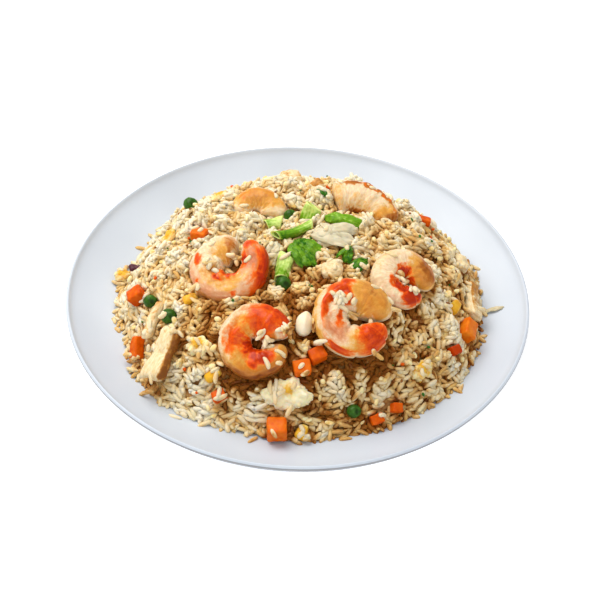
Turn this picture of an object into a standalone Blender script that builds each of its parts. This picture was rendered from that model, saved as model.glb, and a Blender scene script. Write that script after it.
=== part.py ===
"""Prawn fried rice heaped on a round coupe plate, as one Blender object for each separate piece.

Metres, +Z up. The origin is the centre of the plate's foot, on the surface that it stands on.
-Y is the side of the plate towards the diner. Bearings are degrees anticlockwise from +X.
"""

import math
from collections import namedtuple

import bmesh
import bpy
from mathutils import Matrix, Vector, noise

MM = 0.001

# The plate: a 10 inch coupe in glazed porcelain.
PLATE_RADIUS = 127 * MM
PLATE_HEIGHT = 23.5 * MM
FLOOR_HEIGHT = 7 * MM
FLOOR_RADIUS = 80 * MM
COUPE_RISE = 15 * MM
COUPE_POWER = 2.2
WALL = 4 * MM
LIP = 1.5 * MM
FOOT_RADIUS = 73 * MM
FOOT_WIDTH = 5 * MM
FOOT_HEIGHT = 3 * MM
PLATE_SIDES = 48

# The heap of rice: its mean reach over the plate, its height above its edge, and how full its
# shoulders are at the front and at the back.
HEAP_REACH = 98 * MM
HEAP_SPREAD_RIGHT = 5 * MM
HEAP_SPREAD_BEARING = 8
HEAP_HEIGHT = 43 * MM
FRONT_POWER = 3.0
BACK_POWER = 5.0
EDGE_THICKNESS = 1.6 * MM
OUTLINE_LUMP = 5 * MM
BROAD_CLUMP, BROAD_CLUMP_ACROSS = 5 * MM, 26 * MM
SMALL_CLUMP, SMALL_CLUMP_ACROSS = 2 * MM, 12 * MM
HEAP_SECTORS = 48
HEAP_RINGS = 9

# Pieces that touch keep this gap, and the pocket that a topping sits in has a little more.
GAP = 0.4 * MM
POCKET_CLEARANCE = 0.52 * MM

# Prawns: peeled tails, each curled round an axis. Half sizes of the body at its thick end, and the
# shares of its length that its blunt end and the tip of its tail take.
PRAWN_STATIONS = 14
PRAWN_SIDES = 8
PRAWN_HALF_DEPTH = 8.3 * MM
PRAWN_HALF_WIDTH = 6.3 * MM
PRAWN_TAPER = 0.25
PRAWN_BLUNT_END = 0.09
PRAWN_TAIL_END = 0.14

# How a topping lies: the place of its middle on the plate and its depth sunk in the rice, in
# millimetres, its turn about Z in degrees, and then its lean in degrees towards a bearing.
Seat = namedtuple("Seat", "x y sunk turn lean towards", defaults=(0, 0, -90))


def coupe_height(radius):
    """Height of the plate's inner surface: a flat floor that sweeps up to the lip."""
    share = max(0.0, radius - FLOOR_RADIUS) / (PLATE_RADIUS - LIP - FLOOR_RADIUS)
    return FLOOR_HEIGHT + COUPE_RISE * share**COUPE_POWER


def heap_reach(bearing):
    """How far the rice spreads over the plate on a bearing in radians."""
    lean = max(0.0, math.cos(bearing - math.radians(HEAP_SPREAD_BEARING)))
    lump = noise.noise(Vector((2.3 * math.cos(bearing), 2.3 * math.sin(bearing), 5.2)))
    return HEAP_REACH + HEAP_SPREAD_RIGHT * lean**2 + OUTLINE_LUMP * lump


def clumps(x, y):
    """The uneven top of the rice: broad clumps with smaller ones on them."""
    broad = noise.noise(Vector((x / BROAD_CLUMP_ACROSS, y / BROAD_CLUMP_ACROSS, 3.1)))
    small = noise.noise(Vector((x / SMALL_CLUMP_ACROSS, y / SMALL_CLUMP_ACROSS, 7.7)))
    return BROAD_CLUMP * broad + SMALL_CLUMP * small


def heap_height(x, y):
    """Height of the rice at a place on the plate, or of the plate beyond the rice."""
    radius, bearing = math.hypot(x, y), math.atan2(y, x)
    reach = heap_reach(bearing)
    if radius >= reach:
        return coupe_height(radius)
    power = FRONT_POWER + (BACK_POWER - FRONT_POWER) * (0.5 + 0.5 * math.sin(bearing))
    share = radius / reach
    edge = coupe_height(reach) + EDGE_THICKNESS
    return edge + HEAP_HEIGHT * (1 - share**power) + clumps(x, y) * (1 - share**6)


def material(name, colour, roughness):
    """A Principled BSDF with a plain colour, made once and shared by the pieces of one food."""
    found = bpy.data.materials.get(name)
    if found:
        return found
    made = bpy.data.materials.new(name)
    made.use_nodes = True
    shader = made.node_tree.nodes["Principled BSDF"]
    shader.inputs["Base Color"].default_value = (*colour, 1.0)
    shader.inputs["Roughness"].default_value = roughness
    shader.inputs["Metallic"].default_value = 0.0
    made.diffuse_color = (*colour, 1.0)
    return made


def porcelain():
    return material("glazed_porcelain", (0.83, 0.86, 0.90), 0.12)


def rice():
    return material("cooked_rice", (0.62, 0.47, 0.28), 0.5)


def prawn_flesh():
    return material("cooked_prawn", (0.86, 0.38, 0.16), 0.35)


def fried_chicken():
    return material("fried_chicken", (0.84, 0.66, 0.42), 0.45)


def cooked_carrot():
    return material("cooked_carrot", (0.90, 0.25, 0.03), 0.3)


def green_pea():
    return material("green_pea", (0.06, 0.22, 0.04), 0.3)


def scrambled_egg():
    return material("scrambled_egg", (0.88, 0.68, 0.30), 0.5)


def sweetcorn():
    return material("sweetcorn", (0.88, 0.55, 0.05), 0.3)


def onion_leaf():
    return material("spring_onion", (0.22, 0.55, 0.05), 0.3)


def onion_white():
    return material("onion_white", (0.82, 0.86, 0.74), 0.3)


def garlic():
    return material("garlic", (0.90, 0.84, 0.68), 0.4)


def finish_object(name, bm, finish, smooth=True):
    """Turns a bmesh into a named object with outward faces and one material."""
    bmesh.ops.recalc_face_normals(bm, faces=bm.faces)
    mesh = bpy.data.meshes.new(name)
    bm.to_mesh(mesh)
    bm.free()
    if smooth:
        mesh.shade_smooth()
        mesh.set_sharp_from_angle(angle=math.radians(40))
    mesh.materials.append(finish)
    made = bpy.data.objects.new(name, mesh)
    bpy.context.scene.collection.objects.link(made)
    return made


def circle(bm, radius, height, sides):
    """A ring of vertices round Z."""
    angles = [2 * math.pi * i / sides for i in range(sides)]
    return [bm.verts.new((radius * math.cos(a), radius * math.sin(a), height)) for a in angles]


def skin(bm, rings):
    """Faces between rings of vertices, each ring a list of the same length."""
    for lower, upper in zip(rings, rings[1:]):
        for i in range(len(lower)):
            j = (i + 1) % len(lower)
            bm.faces.new((lower[i], lower[j], upper[j], upper[i]))


def cap(bm, ring, tip):
    """A fan of faces from a ring of vertices to a point."""
    vertex = bm.verts.new(tip)
    for i in range(len(ring)):
        bm.faces.new((vertex, ring[i], ring[(i + 1) % len(ring)]))


def middle(ring):
    return sum((v.co for v in ring), Vector()) / len(ring)


def plate():
    """The coupe plate: foot ring, underside, rounded lip and inner sweep."""
    foot_inside = FOOT_RADIUS - FOOT_WIDTH
    sweep = [PLATE_RADIUS - LIP - inset * MM for inset in (3, 7.5, 13, 20, 30)]
    profile = [(foot_inside - 2 * MM, FOOT_HEIGHT), (foot_inside, 0), (FOOT_RADIUS, 0)]
    profile.append((FOOT_RADIUS + 1.5 * MM, FLOOR_HEIGHT - WALL))
    for radius in reversed(sweep):
        profile.append((radius + 0.4 * WALL, coupe_height(radius) - 0.85 * WALL))
    for degrees in (-50, 20, 90):
        angle = math.radians(degrees)
        radius = PLATE_RADIUS - LIP + LIP * math.cos(angle)
        profile.append((radius, PLATE_HEIGHT - LIP + LIP * math.sin(angle)))
    profile += [(radius, coupe_height(radius)) for radius in sweep]
    profile.append((FLOOR_RADIUS, FLOOR_HEIGHT))
    bm = bmesh.new()
    rings = [circle(bm, radius, height, PLATE_SIDES) for radius, height in profile]
    skin(bm, rings)
    cap(bm, rings[0], (0, 0, FOOT_HEIGHT))
    cap(bm, rings[-1], (0, 0, FLOOR_HEIGHT))
    return finish_object("plate", bm, porcelain())


def rice_heap():
    """The rice as one solid out to its uneven outline, lying in the plate."""
    bm = bmesh.new()
    bearings = [2 * math.pi * i / HEAP_SECTORS for i in range(HEAP_SECTORS)]
    rings = []
    for step in range(1, HEAP_RINGS + 1):
        share = (step / HEAP_RINGS) ** 0.8
        ring = []
        for bearing in bearings:
            radius = heap_reach(bearing) * share
            x, y = radius * math.cos(bearing), radius * math.sin(bearing)
            height = heap_height(x, y) if step < HEAP_RINGS else coupe_height(radius) + EDGE_THICKNESS
            ring.append(bm.verts.new((x, y, height)))
        rings.append(ring)
    for share in (0.995, 0.95, 0.905, 0.86, 0.775):
        ring = []
        for bearing in bearings:
            radius = heap_reach(bearing) * share
            height = coupe_height(radius) + GAP
            ring.append(bm.verts.new((radius * math.cos(bearing), radius * math.sin(bearing), height)))
        rings.append(ring)
    skin(bm, rings)
    cap(bm, rings[0], (0, 0, heap_height(0, 0)))
    cap(bm, rings[-1], (0, 0, FLOOR_HEIGHT + GAP))
    bmesh.ops.triangulate(bm, faces=bm.faces)
    return finish_object("fried_rice", bm, rice(), smooth=False)


def settle(made, seat):
    """Sets a topping into the rice as its seat says, and never into the plate."""
    axis_bearing = math.radians(seat.towards + 90)
    axis = Vector((math.cos(axis_bearing), math.sin(axis_bearing), 0))
    leaned = Matrix.Rotation(math.radians(seat.lean), 4, axis)
    turned = Matrix.Rotation(math.radians(seat.turn), 4, "Z")
    x, y = seat.x * MM, seat.y * MM
    pose = Matrix.Translation((x, y, 0)) @ leaned @ turned
    points = [pose @ v.co for v in made.data.vertices]
    into_rice = heap_height(x, y) - seat.sunk * MM - min(p.z for p in points)
    onto_plate = max(coupe_height(math.hypot(p.x, p.y)) + GAP - p.z for p in points)
    made.matrix_world = Matrix.Translation((0, 0, max(into_rice, onto_plate))) @ pose
    return made


def prawn_half_sizes(share):
    """Half depth and half width of the body from its thick end (0) to the tip of its tail (1)."""
    blunt = math.sqrt(1 - (1 - min(share / PRAWN_BLUNT_END, 1)) ** 2)
    tip = math.sqrt(1 - (1 - min((1 - share) / PRAWN_TAIL_END, 1)) ** 2)
    taper = (1 - PRAWN_TAPER * share**1.4) * (0.35 + 0.65 * blunt) * (0.15 + 0.85 * tip)
    return PRAWN_HALF_DEPTH * taper, PRAWN_HALF_WIDTH * taper


def prawn(name, scale, start, sweep, curl, seat, rise=0.0):
    """A curled prawn. start and sweep are the degrees that it covers round its axis, curl the radii of
    its middle line at the thick end and the tail, and rise how far the tail lifts, in millimetres."""
    bm = bmesh.new()
    rings = []
    for step in range(PRAWN_STATIONS):
        share = 0.5 - 0.5 * math.cos(math.pi * (step + 0.35) / (PRAWN_STATIONS - 0.3))
        angle = math.radians(start + sweep * share)
        outward = Vector((math.cos(angle), math.sin(angle), 0))
        along = outward * (curl[0] + (curl[1] - curl[0]) * share) * MM
        along.z = rise * MM * (share - 0.5)
        depth, width = prawn_half_sizes(share)
        ring = []
        for side in range(PRAWN_SIDES):
            around = 2 * math.pi * side / PRAWN_SIDES
            offset = outward * (depth * math.cos(around)) + Vector((0, 0, width * math.sin(around)))
            ring.append(bm.verts.new((along + offset) * scale))
        rings.append(ring)
    skin(bm, rings)
    cap(bm, rings[0], middle(rings[0]))
    cap(bm, rings[-1], middle(rings[-1]))
    return settle(finish_object(name, bm, prawn_flesh()), seat)


def cut_block(size, corner, taper, bend):
    """A cut block with bevelled edges, narrower at +X by taper, its ends bent up by bend."""
    bm = bmesh.new()
    bmesh.ops.create_cube(bm, size=1.0)
    bmesh.ops.scale(bm, verts=bm.verts, vec=Vector(size) * MM)
    half_length = 0.5 * size[0] * MM
    if bend:
        long_edges = [e for e in bm.edges if e.calc_length() > 1.9 * half_length]
        bmesh.ops.subdivide_edges(bm, edges=long_edges, cuts=3, use_grid_fill=True)
    bmesh.ops.bevel(bm, geom=bm.edges, offset=corner * MM, segments=1, affect="EDGES")
    for vertex in bm.verts:
        along = vertex.co.x / half_length
        vertex.co.y *= 1 - taper * (0.5 + 0.5 * along)
        vertex.co.z += bend * MM * (along**2 - 0.33)
    return bm


def carrot(number, size, seat, taper=0.0):
    """A diced piece of carrot."""
    bm = cut_block(size, 0.12 * min(size), taper, 0.0)
    return settle(finish_object(f"carrot_{number}", bm, cooked_carrot()), seat)


def chicken(name, size, seat, taper=0.0, bend=0.0):
    """A strip or chunk of fried chicken breast, its faces a little uneven."""
    bm = cut_block(size, 0.22 * min(size), taper, bend)
    for vertex in bm.verts:
        place = vertex.co / (6 * MM) + Vector((size[0], 0, 0))
        uneven = [noise.noise(place + Vector((0, 0, 9 * axis))) for axis in range(3)]
        vertex.co += Vector(uneven) * 0.7 * MM
    return settle(finish_object(name, bm, fried_chicken()), seat)


def lump(name, finish, size, seat, uneven=0.18, fineness=1):
    """A rounded piece, such as a curd of egg or a pea: a ball pressed to its size and made uneven."""
    bm = bmesh.new()
    bmesh.ops.create_icosphere(bm, subdivisions=fineness, radius=0.5)
    own = Vector((size[0] + seat.x, size[1] + seat.y, size[2]))
    for vertex in bm.verts:
        swell = 1 + uneven * noise.noise(vertex.co * 3.1 + own)
        vertex.co = vertex.co * Vector(size) * swell * MM
    return settle(finish_object(name, bm, finish), seat)


def pea(number, across, seat):
    """A garden pea, a little flattened."""
    return lump(f"pea_{number}", green_pea(), (across, across * 0.95, across * 0.88), seat, 0.03)


def egg(name, size, seat, fineness=1):
    """A curd of scrambled egg."""
    return lump(name, scrambled_egg(), size, seat, 0.45, fineness)


def onion_tube(number, length, across, seat, squash=0.8, bend=0.0):
    """A cut length of spring onion leaf: an open tube, pressed a little flat, its ends cut on a slant."""
    bm = bmesh.new()
    sides, wall = 8, 1.1
    walls = []
    for half in (across / 2, across / 2 - wall):
        rings = []
        for end in (-1, 0, 1):
            ring = []
            for side in range(sides):
                around = 2 * math.pi * side / sides
                out = half * math.cos(around)
                up = half * squash * math.sin(around) + bend * abs(end)
                ring.append(bm.verts.new(Vector((end * (length / 2 + 0.35 * out), out, up)) * MM))
            rings.append(ring)
        skin(bm, rings)
        walls.append(rings)
    for end in (0, -1):
        skin(bm, [walls[0][end], walls[1][end]])
    return settle(finish_object(f"spring_onion_{number}", bm, onion_leaf()), seat)


def onion_flake(name, finish, size, arch, seat, twist=0.0):
    """A curved flake, such as a slit leaf or a slice of the white bulb: a strip that arches along its
    length and twists by some degrees towards its ends."""
    length, width, thick = size
    bm = bmesh.new()
    rings = []
    for step in range(7):
        along = step / 3 - 1
        half = width / 2 * math.sqrt(max(0.12, 1 - 0.9 * along**4))
        tilt = math.radians(twist) * along
        ring = []
        for side, up in ((-half, -thick), (half, -thick), (half, thick), (-half, thick)):
            across = side * math.cos(tilt) - up / 2 * math.sin(tilt)
            height = side * math.sin(tilt) + up / 2 * math.cos(tilt) + arch * (1 - along**2)
            ring.append(bm.verts.new(Vector((along * length / 2, across, height)) * MM))
        rings.append(ring)
    skin(bm, rings)
    cap(bm, rings[0], middle(rings[0]))
    cap(bm, rings[-1], middle(rings[-1]))
    return settle(finish_object(name, bm, finish), seat)


def lay_prawns():
    """Six prawns: two at the front, one each side, and two behind that the rice half buries."""
    return [
        prawn("prawn_front_left", 1.15, 6, 349, (9.4, 9.9), Seat(-20.5, -64, 7.5, 0, 34, -100)),
        prawn("prawn_front_right", 1.26, 4, 349, (9.3, 10.2), Seat(29, -50, 7.5, 0, 28, -75), 3.0),
        prawn("prawn_left", 1.15, 70, 348, (9.2, 12.8), Seat(-37, -18, 7.5, 0, 20, -110), 4.0),
        prawn("prawn_right", 1.04, -38, 338, (9.2, 9.7), Seat(54.5, -20, 7.0, 0, 28, -60), 3.0),
        prawn("prawn_back_right", 1.25, 108, -94, (16.0, 20.0), Seat(24.5, 27, 11.5, 0, 30, -95)),
        prawn("prawn_back_left", 0.95, -10, 200, (9.6, 10.4), Seat(-24.5, 34, 8.5, 0, 26, -90)),
    ]


def lay_chicken():
    """Strips and chunks of chicken breast."""
    return [
        chicken("chicken_left", (30, 14, 8), Seat(-69, -60, 5.5, 62, 40, -140), 0.2, 1.0),
        chicken("chicken_left_sliver", (22, 6, 5), Seat(-75.5, -36, 3.5, 66, 30, -160), 0.25, 1.0),
        chicken("chicken_right", (26, 9, 6), Seat(96, -1, 4.5, 93, 48, 0), 0.2, 1.5),
        chicken("chicken_centre", (12, 10, 7), Seat(17, -17, 4, 20, 15, -60)),
        chicken("chicken_back", (12, 9, 7), Seat(-7, 66, 4, 10, 20, 90)),
        chicken("chicken_back_right", (8, 7, 6), Seat(8, 55, 3.5, 30, 10, 90)),
        chicken("chicken_white_right", (11, 9, 7), Seat(90, 21, 4.5, 100, 40, 15)),
    ]


def lay_carrots():
    """Diced carrot, most of it near the edge of the heap."""
    return [
        carrot(1, (12, 7, 6), Seat(-84, -45, 3, 70, 55, -150), 0.45),
        carrot(2, (11.5, 11.5, 10.5), Seat(-8, -96, 2, 5, 8)),
        carrot(3, (9, 7, 7), Seat(11, -65.5, 3.5, 30, 20)),
        carrot(4, (9, 7.5, 7), Seat(3.5, -73, 3.5, 12, 25)),
        carrot(5, (9, 6, 6), Seat(-55, 14, 3, -20, 10, 150)),
        carrot(6, (9, 8, 8), Seat(-87, -15, 4, 15, 35, -170)),
        carrot(7, (12, 8, 7), Seat(92, -26, 3, 80, 45, -15)),
        carrot(8, (6, 5, 5), Seat(84, -43, 2.5, 40, 40, -30)),
        carrot(9, (6, 5, 5), Seat(53, -79, 2.5, 10, 40, -55)),
        carrot(10, (7, 5, 5), Seat(43, -85, 2.5, 30, 40, -60)),
        carrot(11, (7, 5, 4), Seat(69, 40, 2.5, 0, 20, 30)),
        carrot(12, (7, 5.5, 5), Seat(-38, -81, 3, 20, 30, -120)),
    ]


def lay_peas():
    """Garden peas."""
    return [
        pea(1, 8.8, Seat(-67.5, -38, 3.0)),
        pea(2, 8.2, Seat(-63, 49, 4.0)),
        pea(3, 7.6, Seat(-79, -22, 4.0)),
        pea(4, 7.4, Seat(-6, 31, 4.0)),
        pea(5, 7.6, Seat(31, -84, 4.5)),
        pea(6, 8.4, Seat(-8, -25, 4.0)),
    ]


def lay_egg():
    """Curds of scrambled egg."""
    return [
        egg("egg_front", (24, 12, 9), Seat(-3.5, -82, 5.0, 4, 36), 2),
        egg("egg_front_right", (13, 9, 8), Seat(66, -60, 4, 60, 35, -45)),
        egg("egg_front_left", (13, 10, 7), Seat(-50, -60, 4, 10, 30, -125)),
        egg("egg_left", (9, 7, 6), Seat(-99, 15, 3, 20)),
        egg("egg_back_left", (10, 8, 6), Seat(-73, 22, 3, 50, 20, 165)),
        egg("egg_back", (10, 8, 6), Seat(-46, 45, 3.5, 0, 20, 120)),
    ]


def lay_sweetcorn():
    """Kernels of sweetcorn."""
    return [
        lump("corn_1", sweetcorn(), (8, 6, 5), Seat(-56, -33, 3, 20, 20, -150)),
        lump("corn_2", sweetcorn(), (9, 7, 5.5), Seat(84, -17, 3, 60, 30, -10)),
        lump("corn_3", sweetcorn(), (9, 6, 5.5), Seat(-42, -73, 3, 30, 40, -115)),
        lump("corn_4", sweetcorn(), (8, 7, 5.5), Seat(4.5, -95, 2.5, 70, 20)),
    ]


def lay_spring_onion():
    """The sliced spring onion scattered over the top with its white parts, and a clove of garlic."""
    leaf, white = onion_leaf(), onion_white()
    return [
        onion_tube(1, 9, 7.0, Seat(5, 29, 3, 90, 48), 0.9),
        onion_tube(2, 20, 5.6, Seat(-4, 12, 2.0, 27), 0.85, 1.2),
        onion_tube(3, 9, 8.0, Seat(-15, 21, 3, 10, 12), 0.7),
        onion_flake("spring_onion_4", leaf, (19, 12, 1.6), 3.5, Seat(3, -5, 1.2, -50, 12), 12),
        onion_tube(5, 15, 7.0, Seat(-7.5, -14, 3, 80, 8), 0.75),
        onion_flake("spring_onion_6", leaf, (20, 7, 1.5), 2.8, Seat(23.5, 21.5, 1.2, -14, 25), 10),
        onion_flake("spring_onion_7", leaf, (10, 7, 1.5), 2.0, Seat(24, -5, 1.2, 60, 10), 10),
        onion_flake("spring_onion_8", leaf, (10, 6, 1.5), 2.0, Seat(32, -11, 1.2, 20, 10, -60), 10),
        onion_flake("spring_onion_9", leaf, (9, 3.5, 1.5), 1.5, Seat(11, 44, 1.0, -50, 10, 90)),
        onion_flake("onion_white_1", white, (24, 12, 2.2), 4.0, Seat(18, 8, 1.5, -6, 14)),
        onion_flake("onion_white_2", white, (10, 9, 2.4), 2.0, Seat(-13.5, -2, 1.6, 60, 10)),
        lump("garlic_clove", garlic(), (13.5, 8, 7), Seat(4, -52, 3, 82, 28), 0.05, 2),
    ]


def pocket_cutter(topping):
    """A hidden cutter: the outer form of a topping without its hollows, a little larger all round."""
    bm = bmesh.new()
    for vertex in topping.data.vertices:
        bm.verts.new(vertex.co)
    bmesh.ops.convex_hull(bm, input=bm.verts)
    bmesh.ops.delete(bm, geom=[v for v in bm.verts if not v.link_faces], context="VERTS")
    bmesh.ops.dissolve_limit(bm, angle_limit=math.radians(4), verts=bm.verts, edges=bm.edges)
    bmesh.ops.recalc_face_normals(bm, faces=bm.faces)
    bm.normal_update()
    outward = [vertex.normal.copy() for vertex in bm.verts]
    for vertex, normal in zip(bm.verts, outward):
        vertex.co += normal * POCKET_CLEARANCE
    mesh = bpy.data.meshes.new(f"pocket_{topping.name}")
    bm.to_mesh(mesh)
    bm.free()
    cutter = bpy.data.objects.new(mesh.name, mesh)
    bpy.context.scene.collection.objects.link(cutter)
    cutter.matrix_world = topping.matrix_world
    cutter.hide_render = True
    cutter.display_type = "WIRE"
    return cutter


def connected(vertex, loose):
    """Takes a vertex and all that its edges lead to out of the loose ones, and returns them."""
    found, front = [vertex], [vertex]
    loose.discard(vertex)
    while front:
        for link in front.pop().link_edges:
            for other in link.verts:
                if other in loose:
                    loose.discard(other)
                    found.append(other)
                    front.append(other)
    return found


def sink_pockets(heap, toppings):
    """Cuts the rice round every piece that is sunk in it, and drops crumbs that the cuts set loose."""
    for topping in toppings:
        cut = heap.modifiers.new(f"pocket_{topping.name}", "BOOLEAN")
        cut.operation = "DIFFERENCE"
        cut.solver = "EXACT"
        cut.object = pocket_cutter(topping)
    bpy.context.view_layer.update()
    graph = bpy.context.evaluated_depsgraph_get()
    cut_mesh = bpy.data.meshes.new_from_object(heap.evaluated_get(graph))
    heap.modifiers.clear()
    bm = bmesh.new()
    bm.from_mesh(cut_mesh)
    bmesh.ops.triangulate(bm, faces=bm.faces)
    loose = set(bm.verts)
    islands = [connected(vertex, loose) for vertex in bm.verts if vertex in loose]
    islands.sort(key=len)
    crumbs = [vertex for island in islands[:-1] for vertex in island]
    bmesh.ops.delete(bm, geom=crumbs, context="VERTS")
    bm.to_mesh(heap.data)
    bm.free()


def clear_scene():
    for thing in list(bpy.data.objects):
        bpy.data.objects.remove(thing, do_unlink=True)


def build():
    clear_scene()
    plate()
    heap = rice_heap()
    toppings = lay_prawns() + lay_chicken() + lay_carrots() + lay_peas()
    toppings += lay_egg() + lay_sweetcorn() + lay_spring_onion()
    bpy.context.view_layer.update()
    sink_pockets(heap, toppings)


build()
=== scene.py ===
"""Prawn fried rice on its plate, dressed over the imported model.

The plate is lathed and glazed, some eleven thousand grains of rice lie over a smaller core, and
each prawn, chicken strip, curd of egg and cut vegetable has its own piece. Metres, +Z up; sizes in
the tables are millimetres and degrees.
"""

import math
from collections import namedtuple

import bmesh
import bpy
import numpy as np
from mathutils import Matrix, Vector, noise
from mathutils.bvhtree import BVHTree


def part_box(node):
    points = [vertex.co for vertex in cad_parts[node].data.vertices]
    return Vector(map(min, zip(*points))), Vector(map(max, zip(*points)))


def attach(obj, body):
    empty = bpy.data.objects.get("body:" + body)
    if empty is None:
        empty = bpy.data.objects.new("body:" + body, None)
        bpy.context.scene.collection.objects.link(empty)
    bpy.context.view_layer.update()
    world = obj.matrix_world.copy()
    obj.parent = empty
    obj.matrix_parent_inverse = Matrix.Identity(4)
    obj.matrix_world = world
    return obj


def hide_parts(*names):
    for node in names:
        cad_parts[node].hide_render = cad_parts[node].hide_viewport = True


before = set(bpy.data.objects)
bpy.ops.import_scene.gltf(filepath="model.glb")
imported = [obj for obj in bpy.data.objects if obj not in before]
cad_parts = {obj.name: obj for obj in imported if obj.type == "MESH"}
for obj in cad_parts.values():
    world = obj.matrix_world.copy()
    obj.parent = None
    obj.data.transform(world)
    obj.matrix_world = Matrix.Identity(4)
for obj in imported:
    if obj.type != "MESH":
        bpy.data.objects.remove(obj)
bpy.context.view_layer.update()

MM = 0.001
TINY = 1e-9
CHANCE = np.random.default_rng(23)

# The plate and the heap, as the solids have them.
PLATE_RADIUS, PLATE_HEIGHT = 127, 23.5
FLOOR_HEIGHT, FLOOR_RADIUS = 7, 80
COUPE_RISE, COUPE_POWER = 15, 2.2
WALL, LIP = 4, 1.5
FOOT_RADIUS, FOOT_WIDTH, FOOT_HEIGHT = 73, 5, 3
HEAP_REACH, HEAP_SPREAD_RIGHT, HEAP_SPREAD_BEARING = 98, 5, 8
HEAP_HEIGHT, FRONT_POWER, BACK_POWER = 43, 3.0, 5.0
EDGE_THICKNESS, OUTLINE_LUMP = 1.6, 5
BROAD_CLUMP, BROAD_CLUMP_ACROSS = 5, 26
SMALL_CLUMP, SMALL_CLUMP_ACROSS = 2, 12

# The prawn tails, as the solids have them.
PRAWN_HALF_DEPTH, PRAWN_HALF_WIDTH = 8.3, 6.3
PRAWN_TAPER, PRAWN_BLUNT_END, PRAWN_TAIL_END = 0.25, 0.09, 0.14

# What the solids leave out. Along a tail: its segments, how far each steps out at the back, how
# deep the belly folds and the seams are, and the height of its broad and fine lumps. Round it, in
# degrees: half the width of the slit for the vein, and how far out its raised lips are.
SEGMENTS, SEGMENT_STEP, BELLY_FOLD, SEAM = 6.5, 0.4, 0.5, 0.26
FLESH_LUMP, FLESH_FINE_LUMP = 0.55, 0.28
SLIT_HALF_WIDTH, SLIT_LIP = 9.0, 22
# In the heap: the sticky clumps and the bumps on them, and over what length grains lie alike.
CLUMP, CLUMP_ACROSS = 8.0, 14
BUMP, BUMP_ACROSS = 6.0, 9
COMB_ACROSS = 17
# Soy: its pockets, and its wider drift over the heap.
POCKET_ACROSS, DRIFT_ACROSS = 6, 45


# --- materials -------------------------------------------------------------------------------


def linear(code):
    """An sRGB hex colour as the linear RGBA that shaders take."""
    parts = [int(code[i : i + 2], 16) / 255 for i in (0, 2, 4)]
    return (*[p / 12.92 if p <= 0.04045 else ((p + 0.055) / 1.055) ** 2.4 for p in parts], 1.0)


def add(tree, kind, inputs=(), stops=(), **settings):
    """Adds a node with its settings, its colour stops, and its sockets, each a value or a link."""
    node = tree.nodes.new(kind)
    for name, value in settings.items():
        setattr(node, name, value)
    for socket, value in dict(inputs).items():
        if isinstance(value, bpy.types.NodeSocket):
            tree.links.new(value, node.inputs[socket])
        else:
            node.inputs[socket].default_value = value
    if stops:
        band = node.color_ramp.elements
        while len(band) < len(stops):
            band.new(0.5)
        for element, (place, code) in zip(band, stops):
            element.position, element.color = place, linear(code)
    return node


def finish(name, glow=0.0, red_travels=(1.0, 0.6, 0.35), deep=2.0, **sockets):
    """A new material: its node tree and its Principled shader, with constant sockets set. Where it
    has a glow, light goes `deep` millimetres into it, and `red_travels` is how much of that way its
    red, green and blue go."""
    made = bpy.data.materials.new(name)
    made.use_nodes = True
    shader = made.node_tree.nodes["Principled BSDF"]
    shader.inputs["Subsurface Weight"].default_value = glow
    shader.inputs["Subsurface Radius"].default_value = red_travels
    shader.inputs["Subsurface Scale"].default_value = deep * MM
    for socket, value in sockets.items():
        shader.inputs[socket.replace("_", " ")].default_value = value
    return made, made.node_tree, shader


def glazed_porcelain():
    """Satin glaze over white porcelain: a cool, even white with a wide soft sheen."""
    made, tree, shader = finish(
        "glazed_porcelain", Roughness=0.38, IOR=1.5, Specular_IOR_Level=0.35, Coat_Weight=0.04,
        Coat_Roughness=0.08,
    )
    place = add(tree, "ShaderNodeTexCoord").outputs["Object"]
    # Glaze pools a little thicker and thinner over some 40 mm.
    pool = add(tree, "ShaderNodeTexNoise", {"Vector": place, "Scale": 1 / (40 * MM), "Detail": 1})
    stops = [(0.3, "CAD4E2"), (0.7, "D0DAE8")]
    white = add(tree, "ShaderNodeValToRGB", {"Fac": pool.outputs["Fac"]}, stops).outputs["Color"]
    # Painted shade: a fine grey line under the lip's edge, which faces down, away from the light.
    thin = add(tree, "ShaderNodeAttribute", attribute_name="thin_glaze").outputs["Fac"]
    edge = add(tree, "ShaderNodeMix", {0: thin, 6: white, 7: linear("8A8C92")}, data_type="RGBA")
    tree.links.new(edge.outputs[2], shader.inputs["Base Color"])
    # Orange peel of the glaze, 3 mm across and too low to see except in reflections.
    peel = add(tree, "ShaderNodeTexNoise", {"Vector": place, "Scale": 1 / (3 * MM), "Detail": 0})
    height = {"Height": peel.outputs["Fac"], "Strength": 0.05, "Distance": 0.02 * MM}
    relief = add(tree, "ShaderNodeBump", height)
    tree.links.new(relief.outputs["Normal"], shader.inputs["Normal"])
    return made


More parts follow.
